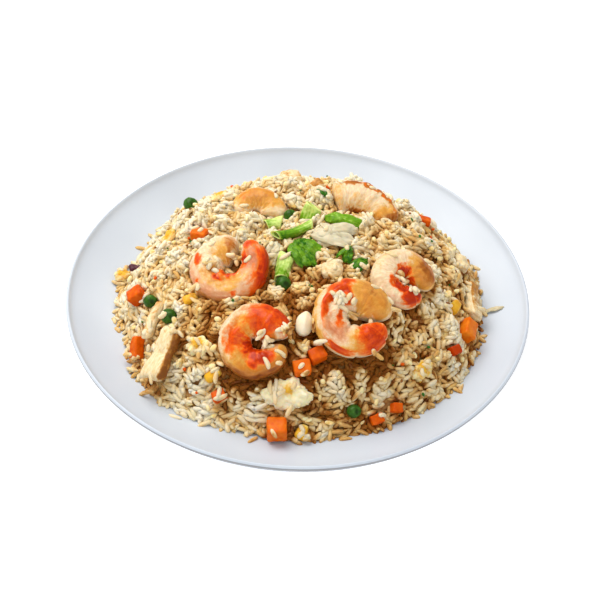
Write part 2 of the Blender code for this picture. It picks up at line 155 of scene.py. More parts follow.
def steamed_rice(kind):
    """Cooked long grain tossed in oil and soy: pearly, part see-through, its tone uneven from grain
    to grain, with a thin wet film over it."""
    made, tree, shader = finish(
        "steamed_" + kind.name, glow=0.65, red_travels=(1.0, 0.86, 0.68), deep=2.2, Roughness=0.46,
        IOR=1.36, Specular_IOR_Level=0.14, Coat_Weight=kind.gloss, Coat_Roughness=0.2,
    )
    tone = add(tree, "ShaderNodeAttribute", attribute_name="tone").outputs["Fac"]
    place = add(tree, "ShaderNodeTexCoord").outputs["Object"]
    # Chalky and glassy parts of a grain, about 2 mm long.
    chalk = add(tree, "ShaderNodeTexNoise", {"Vector": place, "Scale": 1 / (2 * MM), "Detail": 2})
    span = {"From Min": 0.25, "From Max": 0.75, "To Min": -0.1, "To Max": 0.1}
    uneven = add(tree, "ShaderNodeMapRange", {"Value": chalk.outputs["Fac"], **span}).outputs["Result"]
    mixed = add(tree, "ShaderNodeMath", {0: tone, 1: uneven}, operation="ADD").outputs[0]
    # Every kind of grain turns the same tan as the soy sinks in, before it goes brown.
    # The tone also carries painted shade, browner down in the gaps and in the creases between clumps.
    stops = [(0.0, kind.pale), (0.4, kind.mid), (0.65, "CA9C5C"), (0.9, kind.deep)]
    colour = add(tree, "ShaderNodeValToRGB", {"Fac": mixed}, stops).outputs["Color"]
    tree.links.new(colour, shader.inputs["Base Color"])
    # Fine wrinkles of the skin, 0.5 mm apart.
    skin = add(tree, "ShaderNodeTexNoise", {"Vector": place, "Scale": 1 / (0.5 * MM), "Detail": 1})
    height = {"Height": skin.outputs["Fac"], "Strength": 0.25, "Distance": 0.1 * MM}
    relief = add(tree, "ShaderNodeBump", height)
    tree.links.new(relief.outputs["Normal"], shader.inputs["Normal"])
    return made


def soy_and_shade_core():
    """The rice under the top grains, seen only down the gaps: soy tan with painted shade, lumpy with
    grain ends.
    """
    made, tree, shader = finish(
        "soy_and_shade_rice", glow=0.2, Roughness=0.55, IOR=1.36, Specular_IOR_Level=0.3
    )
    place = add(tree, "ShaderNodeTexCoord").outputs["Object"]
    # Cells the size of a grain's end, 2.6 mm.
    cells = add(tree, "ShaderNodeTexVoronoi", {"Vector": place, "Scale": 1 / (2.6 * MM)})
    from_middle = cells.outputs["Distance"]
    # Tan with soy, painted darker towards each cell's edge as shade in the hollows between grain ends.
    stops = [(0.0, "D6AE70"), (0.55, "B5844A"), (1.0, "855628")]
    colour = add(tree, "ShaderNodeValToRGB", {"Fac": from_middle}, stops).outputs["Color"]
    tree.links.new(colour, shader.inputs["Base Color"])
    height = {"Height": from_middle, "Strength": 1.0, "Distance": 1.2 * MM}
    relief = add(tree, "ShaderNodeBump", height, invert=True)
    tree.links.new(relief.outputs["Normal"], shader.inputs["Normal"])
    return made


def fried_prawn():
    """Prawn flesh fried in its own red pigment: pearly cream, amber where it is thick with oil,
    orange-red where the pigment is, golden where the pan caught it, moist all over."""
    made, tree, shader = finish(
        "fried_prawn_flesh", glow=0.35, red_travels=(1.0, 0.5, 0.25), deep=2.0, Roughness=0.3,
        IOR=1.36, Specular_IOR_Level=0.2, Coat_Weight=0.16, Coat_Roughness=0.18,
    )
    local = add(tree, "ShaderNodeAttribute", attribute_name="local").outputs["Vector"]
    # Bands of muscle round the body, 0.75 mm along it and 2.4 mm round it.
    bands = add(tree, "ShaderNodeMapping", {"Vector": local, "Scale": (1.6, 0.5, 0.5)}).outputs[0]
    noise_size = {"Scale": 1 / (1.2 * MM), "Detail": 4}
    fibre = add(tree, "ShaderNodeTexNoise", {"Vector": bands, **noise_size}).outputs["Fac"]
    # Pigment in ragged blotches of 2.2 mm.
    noise_size = {"Scale": 1 / (2.2 * MM), "Detail": 6, "Roughness": 0.66}
    blotch = add(tree, "ShaderNodeTexNoise", {"Vector": local, **noise_size}).outputs["Fac"]
    rough = add(tree, "ShaderNodeMath", {0: blotch, 1: 0.5}, operation="SUBTRACT").outputs[0]
    stops = [(0.25, "F5E3C4"), (0.8, "E8C89C")]
    colour = add(tree, "ShaderNodeValToRGB", {"Fac": fibre}, stops).outputs["Color"]
    for mask, ragged, stops in (
        ("pink", 1.3, [(0.1, "F2D0B2"), (0.6, "E2A87C"), (1.0, "C87248")]),
        ("amber", 0.9, [(0.1, "F6D898"), (0.5, "EAB052"), (1.0, "D08024")]),
        ("sear", 0.9, [(0.1, "DCA65C"), (0.6, "BC7026"), (1.0, "7E3C10")]),
        ("red", 1.0, [(0.1, "F69C34"), (0.45, "F07410"), (0.75, "E04E04"), (1.0, "B83002")]),
    ):
        amount = add(tree, "ShaderNodeAttribute", attribute_name=mask).outputs["Fac"]
        sums = {0: rough, 1: ragged, 2: amount}
        broken = add(tree, "ShaderNodeMath", sums, operation="MULTIPLY_ADD").outputs[0]
        span = {"Value": broken, "From Min": 0.08, "From Max": 0.6}
        cover = add(tree, "ShaderNodeMapRange", span, interpolation_type="SMOOTHSTEP").outputs[0]
        depth = add(tree, "ShaderNodeValToRGB", {"Fac": broken}, stops).outputs["Color"]
        layers = {0: cover, 6: colour, 7: depth}
        colour = add(tree, "ShaderNodeMix", layers, data_type="RGBA").outputs[2]
    # The fibres and the oil between them show through every colour.
    stops = [(0.3, "FFFFFF"), (0.75, "DCC8B4")]
    veil = add(tree, "ShaderNodeValToRGB", {"Fac": fibre}, stops).outputs["Color"]
    layers = {0: 0.4, 6: colour, 7: veil}
    veiled = add(tree, "ShaderNodeMix", layers, data_type="RGBA", blend_type="MULTIPLY").outputs[2]
    tree.links.new(veiled, shader.inputs["Base Color"])
    height = {"Height": fibre, "Strength": 0.35, "Distance": 0.25 * MM}
    relief = add(tree, "ShaderNodeBump", height)
    tree.links.new(relief.outputs["Normal"], shader.inputs["Normal"])
    return made


def fried_chicken_breast():
    """Chicken breast browned on one side: long pale fibres, golden where it met the pan."""
    made, tree, shader = finish(
        "fried_chicken_breast", glow=0.2, Roughness=0.45, IOR=1.36, Specular_IOR_Level=0.3,
        Coat_Weight=0.08, Coat_Roughness=0.3,
    )
    local = add(tree, "ShaderNodeAttribute", attribute_name="local").outputs["Vector"]
    # Fibre bundles 0.8 mm across, which fade in and out over 2.7 mm of their length.
    along = add(tree, "ShaderNodeMapping", {"Vector": local, "Scale": (0.3, 1.0, 1.0)}).outputs[0]
    noise_size = {"Scale": 1 / (0.8 * MM), "Detail": 2}
    fibre = add(tree, "ShaderNodeTexNoise", {"Vector": along, **noise_size}).outputs["Fac"]
    stops = [(0.3, "E2C68E"), (0.65, "F5E4BE")]
    pale = add(tree, "ShaderNodeValToRGB", {"Fac": fibre}, stops).outputs["Color"]
    # The crust breaks up at its edge in spots of 3 mm.
    sear = add(tree, "ShaderNodeAttribute", attribute_name="sear").outputs["Fac"]
    noise_size = {"Scale": 1 / (3 * MM), "Detail": 3}
    spots = add(tree, "ShaderNodeTexNoise", {"Vector": local, **noise_size}).outputs["Fac"]
    rough = add(tree, "ShaderNodeMath", {0: spots, 1: 0.5}, operation="SUBTRACT").outputs[0]
    sums = {0: rough, 1: 1.2, 2: sear}
    broken = add(tree, "ShaderNodeMath", sums, operation="MULTIPLY_ADD").outputs[0]
    stops = [(0.2, "E6C07C"), (0.6, "C98B3C"), (1.0, "8A521E")]
    crust = add(tree, "ShaderNodeValToRGB", {"Fac": broken}, stops).outputs["Color"]
    span = {"Value": broken, "From Min": 0.2, "From Max": 0.6}
    cover = add(tree, "ShaderNodeMapRange", span, interpolation_type="SMOOTHSTEP").outputs[0]
    layers = {0: cover, 6: pale, 7: crust}
    colour = add(tree, "ShaderNodeMix", layers, data_type="RGBA").outputs[2]
    tree.links.new(colour, shader.inputs["Base Color"])
    height = {"Height": fibre, "Strength": 0.5, "Distance": 0.3 * MM}
    relief = add(tree, "ShaderNodeBump", height)
    tree.links.new(relief.outputs["Normal"], shader.inputs["Normal"])
    return made


def moist_food(name, low, mid, high, across, roughness, coat, glow, depth):
    """Plain cooked or raw vegetable or egg: three tones of its own colour in patches `across`
    millimetres wide, a moist film, and a skin with a low relief, `depth` millimetres deep."""
    made, tree, shader = finish(
        name, glow=glow, Roughness=roughness, IOR=1.36, Specular_IOR_Level=0.18, Coat_Weight=coat,
        Coat_Roughness=0.15,
    )
    local = add(tree, "ShaderNodeAttribute", attribute_name="local").outputs["Vector"]
    tone = add(tree, "ShaderNodeAttribute", attribute_name="tone").outputs["Fac"]
    patch = add(tree, "ShaderNodeTexNoise", {"Vector": local, "Scale": 1 / (across * MM), "Detail": 3})
    sums = {0: patch.outputs["Fac"], 1: 0.8, 2: tone}
    mixed = add(tree, "ShaderNodeMath", sums, operation="MULTIPLY_ADD").outputs[0]
    stops = [(0.15, low), (0.5, mid), (0.9, high)]
    colour = add(tree, "ShaderNodeValToRGB", {"Fac": mixed}, stops).outputs["Color"]
    tree.links.new(colour, shader.inputs["Base Color"])
    # The relief is four times as fine as the patches.
    noise_size = {"Scale": 1 / (0.25 * across * MM), "Detail": 2}
    fine = add(tree, "ShaderNodeTexNoise", {"Vector": local, **noise_size}).outputs["Fac"]
    height = {"Height": fine, "Strength": 0.5, "Distance": depth * MM}
    relief = add(tree, "ShaderNodeBump", height)
    tree.links.new(relief.outputs["Normal"], shader.inputs["Normal"])
    return made


def light_table():
    """Opal acrylic lit from below, as under a product shot: white, with hardly a shadow on it."""
    made, tree, shader = finish("lit_opal_acrylic", Roughness=0.7, Emission_Strength=0.46)
    place = add(tree, "ShaderNodeTexCoord").outputs["Object"]
    # The white is a little uneven over 300 mm.
    mottle = add(tree, "ShaderNodeTexNoise", {"Vector": place, "Scale": 1 / (300 * MM), "Detail": 1})
    stops = [(0.3, "F8F8F8"), (0.7, "FCFCFC")]
    white = add(tree, "ShaderNodeValToRGB", {"Fac": mottle.outputs["Fac"]}, stops).outputs["Color"]
    tree.links.new(white, shader.inputs["Base Color"])
    return made


# --- shapes ----------------------------------------------------------------------------------


def loft(rings):
    """Points and triangles of a closed skin over rings of points, its ends closed at a middle point."""
    count, around = rings.shape[:2]
    index = np.arange(count * around).reshape(count, around)
    here, there = index[:-1], index[1:]
    here_next, there_next = np.roll(here, -1, axis=1), np.roll(there, -1, axis=1)
    faces = [
        np.stack([here, here_next, there_next], -1).reshape(-1, 3),
        np.stack([here, there_next, there], -1).reshape(-1, 3),
    ]
    points = [rings.reshape(-1, 3)]
    for tip, ring in ((0, index[0]), (1, index[-1])):
        centre = np.full(around, count * around + tip)
        faces.append(np.stack([centre, np.roll(ring, -1), ring], -1)[:, :: 1 if tip == 0 else -1])
        points.append(rings[0 if tip == 0 else -1].mean(axis=0, keepdims=True))
    return np.concatenate(points), np.concatenate(faces)


def ring_loft(rings):
    """Points and triangles of a skin over rings of points that joins the last ring to the first."""
    count, around = rings.shape[:2]
    index = np.arange(count * around).reshape(count, around)
    there = np.roll(index, -1, axis=0)
    here_next, there_next = np.roll(index, -1, axis=1), np.roll(there, -1, axis=1)
    faces = [
        np.stack([index, here_next, there_next], -1).reshape(-1, 3),
        np.stack([index, there_next, there], -1).reshape(-1, 3),
    ]
    return rings.reshape(-1, 3), np.concatenate(faces)


def from_bmesh(bm):
    """Points and triangles of a bmesh, which is then freed."""
    bmesh.ops.triangulate(bm, faces=bm.faces)
    points = np.array([v.co for v in bm.verts])
    faces = np.array([[v.index for v in f.verts] for f in bm.faces])
    bm.free()
    return points, faces


def ball(fineness):
    """Points and triangles of a unit ball."""
    bm = bmesh.new()
    bmesh.ops.create_icosphere(bm, subdivisions=fineness, radius=1.0)
    bm.verts.index_update()
    return from_bmesh(bm)


def block(size, corner, cuts):
    """Points and triangles of a block with rounded edges, and each point's share of its half sizes."""
    bm = bmesh.new()
    bmesh.ops.create_cube(bm, size=2.0)
    bmesh.ops.subdivide_edges(bm, edges=bm.edges[:], cuts=cuts, use_grid_fill=True)
    bm.verts.index_update()
    share, faces = from_bmesh(bm)
    half = np.array(size) / 2
    inner = np.clip(share * half, corner - half, half - corner)
    out = share * half - inner
    length = np.linalg.norm(out, axis=1, keepdims=True)
    return inner + corner * out / np.maximum(length, TINY), faces, share


def noise_at(points, across, shift=0.0):
    """Smooth noise in -1 to 1 at each point, its features `across` apart."""
    return np.array([noise.noise(Vector(p)) for p in points / across + shift])


def roughen(points, across, height, shift=0.0):
    """Moves each point by smooth noise along its own direction from the middle."""
    out = points / np.maximum(np.linalg.norm(points, axis=1, keepdims=True), TINY)
    return points + out * (height * noise_at(points, across, shift))[:, None]


def make_piece(name, points, faces, material, slot, nodes, **masks):
    """A named mesh in the dish's own frame, from points in millimetres, riding on the root."""
    # A skin that came out inside out is turned.
    corner = points[faces]
    volume = np.einsum("ij,ij->i", corner[:, 0], np.cross(corner[:, 1], corner[:, 2])).sum()
    if volume < 0:
        faces = faces[:, ::-1]
    mesh = bpy.data.meshes.new(name)
    mesh.vertices.add(len(points))
    mesh.vertices.foreach_set("co", (points * MM).astype(np.float32).ravel())
    mesh.loops.add(faces.size)
    mesh.loops.foreach_set("vertex_index", faces.astype(np.int32).ravel())
    mesh.polygons.add(len(faces))
    mesh.polygons.foreach_set("loop_start", np.arange(0, faces.size, 3, dtype=np.int32))
    mesh.update(calc_edges=True)
    mesh.shade_smooth()
    for mask, values in masks.items():
        kind, field = ("FLOAT", "value") if values.ndim == 1 else ("FLOAT_VECTOR", "vector")
        attribute = mesh.attributes.new(mask, kind, "POINT")
        attribute.data.foreach_set(field, values.astype(np.float32).ravel())
    mesh.materials.append(material)
    piece = bpy.data.objects.new(name, mesh)
    bpy.context.scene.collection.objects.link(piece)
    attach(piece, "root")
    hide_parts(*nodes)


# How a topping lies: turned about the upright, then leant over towards a bearing, in degrees.
Lie = namedtuple("Lie", "turn lean towards", defaults=(0, 0, -90))
# Slot, points and triangles of each topping, for the rice to be laid round.
TOPPINGS = []


def settle(node, points, faces, lie, material, slot, prefix="cooked", tone=0.0, **masks):
    """Turns a topping as its solid lies, sets the middle of its box on the solid's, and makes it."""
    axis_bearing = math.radians(lie.towards + 90)
    axis = Vector((math.cos(axis_bearing), math.sin(axis_bearing), 0))
    turned = Matrix.Rotation(math.radians(lie.lean), 3, axis)
    turned = turned @ Matrix.Rotation(math.radians(lie.turn), 3, "Z")
    placed = points @ np.array(turned).T
    low, high = (np.array(corner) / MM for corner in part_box(node))
    placed += (low + high) / 2 - (placed.min(axis=0) + placed.max(axis=0)) / 2
    if np.isscalar(tone):
        tone = np.full(len(points), float(tone))
    # Each topping has its own place in the pattern of its material.
    masks = {"local": (points + 100 * CHANCE.random(3)) * MM, "tone": tone, **masks}
    make_piece(f"{prefix}_{node}", placed, faces, material, slot, [node], **masks)
    TOPPINGS.append((slot, placed, faces))


# --- the plate -------------------------------------------------------------------------------


def coupe_height(radius):
    """Height of the plate's inner surface: a flat floor that sweeps up to the lip."""
    share = np.maximum(0.0, radius - FLOOR_RADIUS) / (PLATE_RADIUS - LIP - FLOOR_RADIUS)
    return FLOOR_HEIGHT + COUPE_RISE * share**COUPE_POWER


def plate():
    """The coupe plate, lathed: foot ring, underside, rounded lip and inner sweep."""
    foot_inside = FOOT_RADIUS - FOOT_WIDTH
    lip_middle, lip_level = PLATE_RADIUS - LIP, PLATE_HEIGHT - LIP
    sweep = lip_middle - np.linspace(0.6, 45.5, 26)
    # The well under the floor, then the foot ring, eased at its edges.
    profile = [(4.0, FOOT_HEIGHT), (40.0, FOOT_HEIGHT), (foot_inside - 2.4, FOOT_HEIGHT)]
    profile += [(foot_inside - 0.9, FOOT_HEIGHT - 0.5), (foot_inside - 0.3, 0.4), (foot_inside, 0.0)]
    profile += [(FOOT_RADIUS - 0.6, 0.0), (FOOT_RADIUS, 0.4), (FOOT_RADIUS + 0.7, 2.2)]
    profile.append((FOOT_RADIUS + 2.0, FLOOR_HEIGHT - WALL + 0.1))
    # The underside follows the inner sweep, a wall below it.
    under = [r for r in sweep[::-1] if FLOOR_RADIUS < r < lip_middle - 2.5]
    profile += [(r + 0.4 * WALL, coupe_height(r) - 0.85 * WALL) for r in under]
    lip_starts = len(profile)
    for degrees in range(-60, 91, 15):
        angle = math.radians(degrees)
        profile.append((lip_middle + LIP * math.cos(angle), lip_level + LIP * math.sin(angle)))
    profile += [(r, coupe_height(r) + (0.5 if i == 0 else 0.0)) for i, r in enumerate(sweep)]
    profile += [(r, FLOOR_HEIGHT) for r in (60.0, 30.0, 4.0)]
    sides = 192
    angle = 2 * np.pi * np.arange(sides) / sides
    circle = np.stack([np.cos(angle), np.sin(angle)], -1)
    rings = [np.column_stack([r * circle, np.full(sides, z)]) for r, z in profile]
    # Painted shade on the lip's lower edge, from 60 degrees below level to 15 above.
    thin = np.zeros(len(profile))
    thin[lip_starts - 2 : lip_starts + 6] = 1
    thin = np.append(np.repeat(thin, sides), [0, 0])
    points, faces = loft(np.array(rings))
    glaze = glazed_porcelain()
    make_piece("glazed_plate", points, faces, glaze, "porcelain", ["plate"], thin_glaze=thin)


# --- prawns ----------------------------------------------------------------------------------

# A patch of colour on a prawn: its middle along the body (0 thick end, 1 tail) and how far it
# reaches, its middle round the body (0 back, 90 the side that shows, 180 belly) and its spread.
Patch = namedtuple("Patch", "mask along reach side spread strength")
# A slit along the body where the vein was taken out: from and to along the body, side, depth.
Slit = namedtuple("Slit", "start end side depth")


def prawn_half_sizes(share):
    """Half the depth and half the width of a tail at shares of its length."""
    blunt = np.sqrt(1 - (1 - np.minimum(share / PRAWN_BLUNT_END, 1)) ** 2)
    tip = np.sqrt(1 - (1 - np.minimum((1 - share) / PRAWN_TAIL_END, 1)) ** 2)
    taper = (1 - PRAWN_TAPER * share**1.4) * (0.25 + 0.75 * blunt) * (0.15 + 0.85 * tip)
    return PRAWN_HALF_DEPTH * taper, PRAWN_HALF_WIDTH * taper


def soft_edge(distance):
    """1 at 0, falling smoothly to 0 at 1."""
    inside = np.clip(1.2 * (1 - np.abs(distance)), 0, 1)
    return inside * inside * (3 - 2 * inside)


def prawn(node, scale, start, sweep, curl, rise, lie, material, patches, slits=(), ridged=1.0):
    """A peeled prawn curled round an axis, with its segments, its slit back and its colours. The
    curl is its radius at the thick end and at the tail, and the rise is how far it climbs."""
    stations, sides = 132, 52
    # Stations stand closer together towards both round ends.
    share = 0.5 - 0.5 * np.cos(np.pi * (np.arange(stations) + 0.1) / (stations - 0.8))
    around = 2 * np.pi * np.arange(sides) / sides
    share, around = np.meshgrid(share, around, indexing="ij")
    angle = np.radians(start + sweep * share)
    outward = np.stack([np.cos(angle), np.sin(angle), np.zeros_like(angle)], -1)
    up = np.array([0.0, 0.0, 1.0])
    middle = outward * (curl[0] + (curl[1] - curl[0]) * share)[..., None]
    middle[..., 2] = rise * (share - 0.5)
    depth, width = prawn_half_sizes(share)
    # The shell's segments leave steps round the back with seams between them, and the belly folds.
    segment = SEGMENTS * share
    phase = segment - np.floor(segment)
    back = np.clip(0.35 + 0.65 * np.cos(around), 0, 1)
    step = SEGMENT_STEP * back * (phase**1.5 - 0.45) * (share > 0.04) * (share < 0.94)
    folds = -BELLY_FOLD * (1 - back) * np.exp(-(((phase - 0.5) / 0.16) ** 2))
    seams = -SEAM * np.exp(-(((phase - 0.02) / 0.06) ** 2)) * (0.4 + 0.6 * back)
    swell = ridged * (step + folds + seams)
    flat = np.stack([share * 9 + start, np.cos(around) * 1.4, np.sin(around) * 1.4], -1).reshape(-1, 3)
    lumps = noise_at(flat, 1.0).reshape(share.shape)
    fine = noise_at(flat * [2.2, 2.6, 2.6], 1.0, 7.0).reshape(share.shape)
    swell = swell + FLESH_LUMP * lumps + FLESH_FINE_LUMP * fine
    degrees = np.degrees(around)
    for slit in slits:
        gap = (degrees - slit.side + 14 * lumps + 180) % 360 - 180
        length = soft_edge((share - (slit.start + slit.end) / 2) / (0.62 * (slit.end - slit.start)))
        swell = swell - slit.depth * length * np.exp(-((gap / SLIT_HALF_WIDTH) ** 2))
        lip = np.exp(-(((np.abs(gap) - SLIT_LIP) / SLIT_HALF_WIDTH) ** 2))
        swell = swell + 0.25 * slit.depth * length * lip
    depth = np.maximum(depth + swell, 0.3)
    width = np.maximum(width + swell, 0.3)
    rings = middle + outward * (depth * np.cos(around))[..., None]
    rings = rings + up * (width * np.sin(around))[..., None]
    # The patches' edges wander with the lumps.
    masks = {mask: np.zeros_like(share) for mask in ("red", "sear", "amber", "pink")}
    wander = 0.045 * lumps + 0.02 * fine
    for patch in patches:
        lengthways = soft_edge((share + wander - patch.along) / patch.reach)
        gap = (degrees + 22 * fine - patch.side + 180) % 360 - 180
        cover = patch.strength * lengthways * soft_edge(gap / patch.spread)
        masks[patch.mask] = np.maximum(masks[patch.mask], cover)
    # The pigment is thin at the seams between segments.
    masks["red"] = masks["red"] * (1 - 0.22 * np.exp(-(((phase - 0.03) / 0.12) ** 2)))
    points, faces = loft(rings * scale)
    masks = {k: np.append(v.ravel(), [v[0].mean(), v[-1].mean()]) for k, v in masks.items()}
    # The flesh's own coordinates, straightened out: along the body, and round it.
    wrapped = [share * math.radians(abs(sweep)) * curl[0], 7 * np.cos(around), 7 * np.sin(around)]
    wrapped = (np.stack(wrapped, -1).reshape(-1, 3) + start) * scale * MM
    masks["local"] = np.concatenate([wrapped, wrapped[:1], wrapped[-1:]])
    settle(node, points, faces, lie, material, "prawn", **masks)


def lay_prawns():
    """The six prawns, each with its own curl, lie, patches of colour and slit."""
    flesh = fried_prawn()
    prawn(
        "prawn_front_left", 1.15, 6, 349, (9.4, 9.9), 0, Lie(0, 34, -100), flesh,
        [
            Patch("amber", 0.5, 0.75, 105, 75, 0.75),
            Patch("red", 0.17, 0.25, 90, 120, 0.78),
            Patch("red", 0.12, 0.2, 30, 60, 0.9),
            Patch("red", 0.47, 0.2, 90, 62, 0.72),
            Patch("red", 0.64, 0.36, 146, 52, 1.1),
            Patch("red", 0.8, 0.2, 106, 52, 1.05),
            Patch("amber", 0.8, 0.34, 40, 80, 1.1),
            Patch("sear", 0.76, 0.32, 14, 56, 0.9),
            Patch("sear", 0.04, 0.06, 120, 60, 0.7),
            Patch("pink", 0.97, 0.1, 100, 120, 0.9),
        ],
        [Slit(0.28, 0.6, 66, 1.6)],
    )
    prawn(
        "prawn_front_right", 1.26, 4, 349, (9.3, 10.2), 3.0, Lie(0, 28, -75), flesh,
        [
            Patch("amber", 0.14, 0.24, 85, 120, 0.85),
            Patch("amber", 0.5, 0.3, 0, 60, 0.6),
            Patch("sear", 0.17, 0.12, 60, 50, 0.4),
            Patch("red", 0.33, 0.09, 75, 90, 0.95),
            Patch("red", 0.46, 0.17, 58, 20, 0.85),
            Patch("red", 0.5, 0.2, 112, 22, 0.8),
            Patch("pink", 0.62, 0.16, 90, 70, 0.8),
            Patch("red", 0.68, 0.15, 34, 22, 0.85),
            Patch("amber", 0.8, 0.14, 80, 90, 0.7),
            Patch("red", 0.9, 0.2, 80, 130, 0.88),
        ],
        [Slit(0.28, 0.66, 80, 2.2)],
    )
    prawn(
        "prawn_left", 1.15, 70, 348, (9.2, 12.8), 4.0, Lie(0, 20, -110), flesh,
        [
            Patch("amber", 0.1, 0.2, 120, 90, 0.6),
            Patch("sear", 0.03, 0.07, 90, 90, 0.55),
            Patch("red", 0.28, 0.045, 60, 34, 0.85),
            Patch("pink", 0.52, 0.36, 60, 140, 0.6),
            Patch("pink", 0.52, 0.4, 10, 80, 0.8),
            Patch("sear", 0.55, 0.3, 0, 40, 0.45),
            Patch("sear", 0.46, 0.18, 104, 40, 0.6),
            Patch("amber", 0.52, 0.34, 112, 70, 0.72),
            Patch("red", 0.6, 0.3, 146, 34, 0.9),
            Patch("red", 0.48, 0.08, 108, 26, 1.15),
            Patch("red", 0.4, 0.03, 40, 16, 0.7),
            Patch("red", 0.62, 0.03, 60, 14, 0.7),
            Patch("red", 0.8, 0.17, 26, 78, 1.15),
            Patch("red", 0.86, 0.14, 138, 40, 1.1),
            Patch("pink", 0.84, 0.22, 90, 120, 1.0),
            Patch("red", 0.97, 0.07, 80, 70, 0.8),
        ],
        [Slit(0.4, 0.75, 112, 1.4)],
    )
    prawn(
        "prawn_right", 1.04, -14, 338, (9.2, 9.7), 3.0, Lie(0, 28, -60), flesh,
        [
            Patch("amber", 0.12, 0.26, 80, 110, 0.9),
            Patch("sear", 0.14, 0.16, 60, 60, 0.75),
            Patch("red", 0.05, 0.12, 150, 50, 0.9),
            Patch("red", 0.34, 0.26, 140, 44, 1.15),
            Patch("red", 0.8, 0.3, 124, 44, 1.2),
            Patch("red", 0.92, 0.14, 76, 80, 1.15),
            Patch("pink", 0.8, 0.24, 30, 60, 0.4),
            Patch("amber", 0.45, 0.2, 30, 60, 0.3),
            Patch("sear", 0.97, 0.06, 40, 90, 0.5),
        ],
        [Slit(0.45, 0.85, 132, 1.4)],
    )
    prawn(
        "prawn_back_right", 1.25, 108, -94, (16.0, 20.0), 0, Lie(0, 30, -95), flesh,
        [
            Patch("sear", 0.5, 0.6, 40, 20, 0.95),
            Patch("red", 0.6, 0.5, 42, 12, 0.5),
            Patch("amber", 0.08, 0.2, 90, 110, 0.4),
            Patch("amber", 0.88, 0.2, 90, 110, 0.6),
            Patch("sear", 0.96, 0.1, 60, 90, 0.6),
            Patch("amber", 0.5, 0.6, 125, 70, 0.35),
            Patch("sear", 0.5, 0.5, 165, 40, 0.7),
        ],
        ridged=0.3,
    )
    prawn(
        "prawn_back_left", 0.95, -10, 200, (9.6, 10.4), 0, Lie(0, 26, -90), flesh,
        [
            Patch("amber", 0.5, 0.6, 70, 120, 0.85),
            Patch("sear", 0.5, 0.5, 100, 50, 0.4),
            Patch("red", 0.7, 0.2, 60, 50, 0.3),
        ],
        ridged=0.25,
    )


# --- chicken, egg and vegetables -------------------------------------------------------------


def bend_and_taper(points, size, taper, bend):
    """Narrows a piece towards one end by a share of its width, and bows it by millimetres."""
    along = points[:, 0] / (size[0] / 2)
    bent = points.copy()
    bent[:, 1] *= 1 - taper * (0.5 + 0.5 * along)
    bent[:, 2] += bend * (along**2 - 0.33)
    return bent


def chicken(node, size, lie, material, browned, taper=0.0, bend=0.0):
    """A strip or chunk of breast torn along its fibres, browned on the sides that `browned` faces."""
    points, faces, share = block(size, 0.44 * min(size), 21)
    points = bend_and_taper(points, size, taper, bend)
    own = sum(size)
    points = roughen(roughen(points, 9.0, 2.0, own), 3.5, 1.2, own)
    # Torn fibres leave ridges along the strip.
    ridge = noise_at(points * [0.12, 1.0, 1.0], 1.3, own)
    out = points / np.linalg.norm(points, axis=1, keepdims=True)
    points = points + out * (0.3 * ridge)[:, None]
    # How squarely each point faces along each axis, for the browning to keep to the sides.
    face = np.sign(share) * np.abs(share) ** 4
    towards = np.array(browned, float)
    settle(node, points, faces, lie, material, "chicken", sear=np.clip(face @ towards, 0, 1))


def carrot(number, size, lie, material, taper=0.0, tone=0.0):
    """A die of carrot, its cut faces uneven and its corners softened by cooking."""
    points, faces, _ = block(size, 0.15 * min(size), 13)
    points = bend_and_taper(points, size, taper, 0.0)
    points = roughen(roughen(points, 6.0, 0.5, number), 2.5, 0.22, number)
    settle(f"carrot_{number}", points, faces, lie, material, "carrot", tone=tone)


def pea(number, across, material):
    """A garden pea with a dimple where it hung in the pod and a slightly slack skin."""
    points, faces = ball(4)
    points = points * np.array([1, 0.95, 0.88]) * across / 2
    hung_from = [0.2 * across, -0.3 * across, 0.25 * across]
    dimple = np.exp(-(np.linalg.norm(points - hung_from, axis=1) / 1.3) ** 2)
    points = points * (1 - 0.2 * dimple)[:, None]
    points = roughen(roughen(points, 2.6, 0.3, number), 1.1, 0.12, number)
    # The dimple is painted darker, as shade in its hollow.
    settle(f"pea_{number}", points, faces, Lie(), material, "pea", tone=-0.35 * dimple)


def egg(node, size, lie, material, tone):
    """A curd of scrambled egg: folded lumps with creases between them and a spot of yolk."""
    points, faces = ball(5)
    points = points * np.array(size) / 2
    own = size[0] * 3.7
    points = roughen(points, 0.42 * size[0], 0.16 * size[0], own)
    points = roughen(points, 3.4, 1.8, own)
    folds = np.abs(noise_at(points, 2.2, own + 5))
    points = roughen(points * (1 + 0.2 * (folds - 0.25))[:, None], 1.1, 0.4, own)
    yolk_at = np.array([0.02, 0.12, 0.4]) * size
    yolk = np.exp(-((np.linalg.norm(points - yolk_at, axis=1) / 2.6) ** 2))
    tones = 0.4 * (0.3 - folds) + tone + 0.15 - 0.8 * yolk
    settle(node, points, faces, lie, material, "egg", tone=tones)


def sweetcorn(number, size, lie, material):
    """A kernel of sweetcorn: a plump wedge, paler at its cut base."""
    points, faces, share = block(size, 0.36 * min(size), 9)
    points = bend_and_taper(points, size, 0.35, 0.0)
    points = roughen(points, 3.0, 0.3, number)
    paler_base = 0.25 * (share[:, 0] > 0.8)
    settle(f"corn_{number}", points, faces, lie, material, "sweetcorn", tone=paler_base)


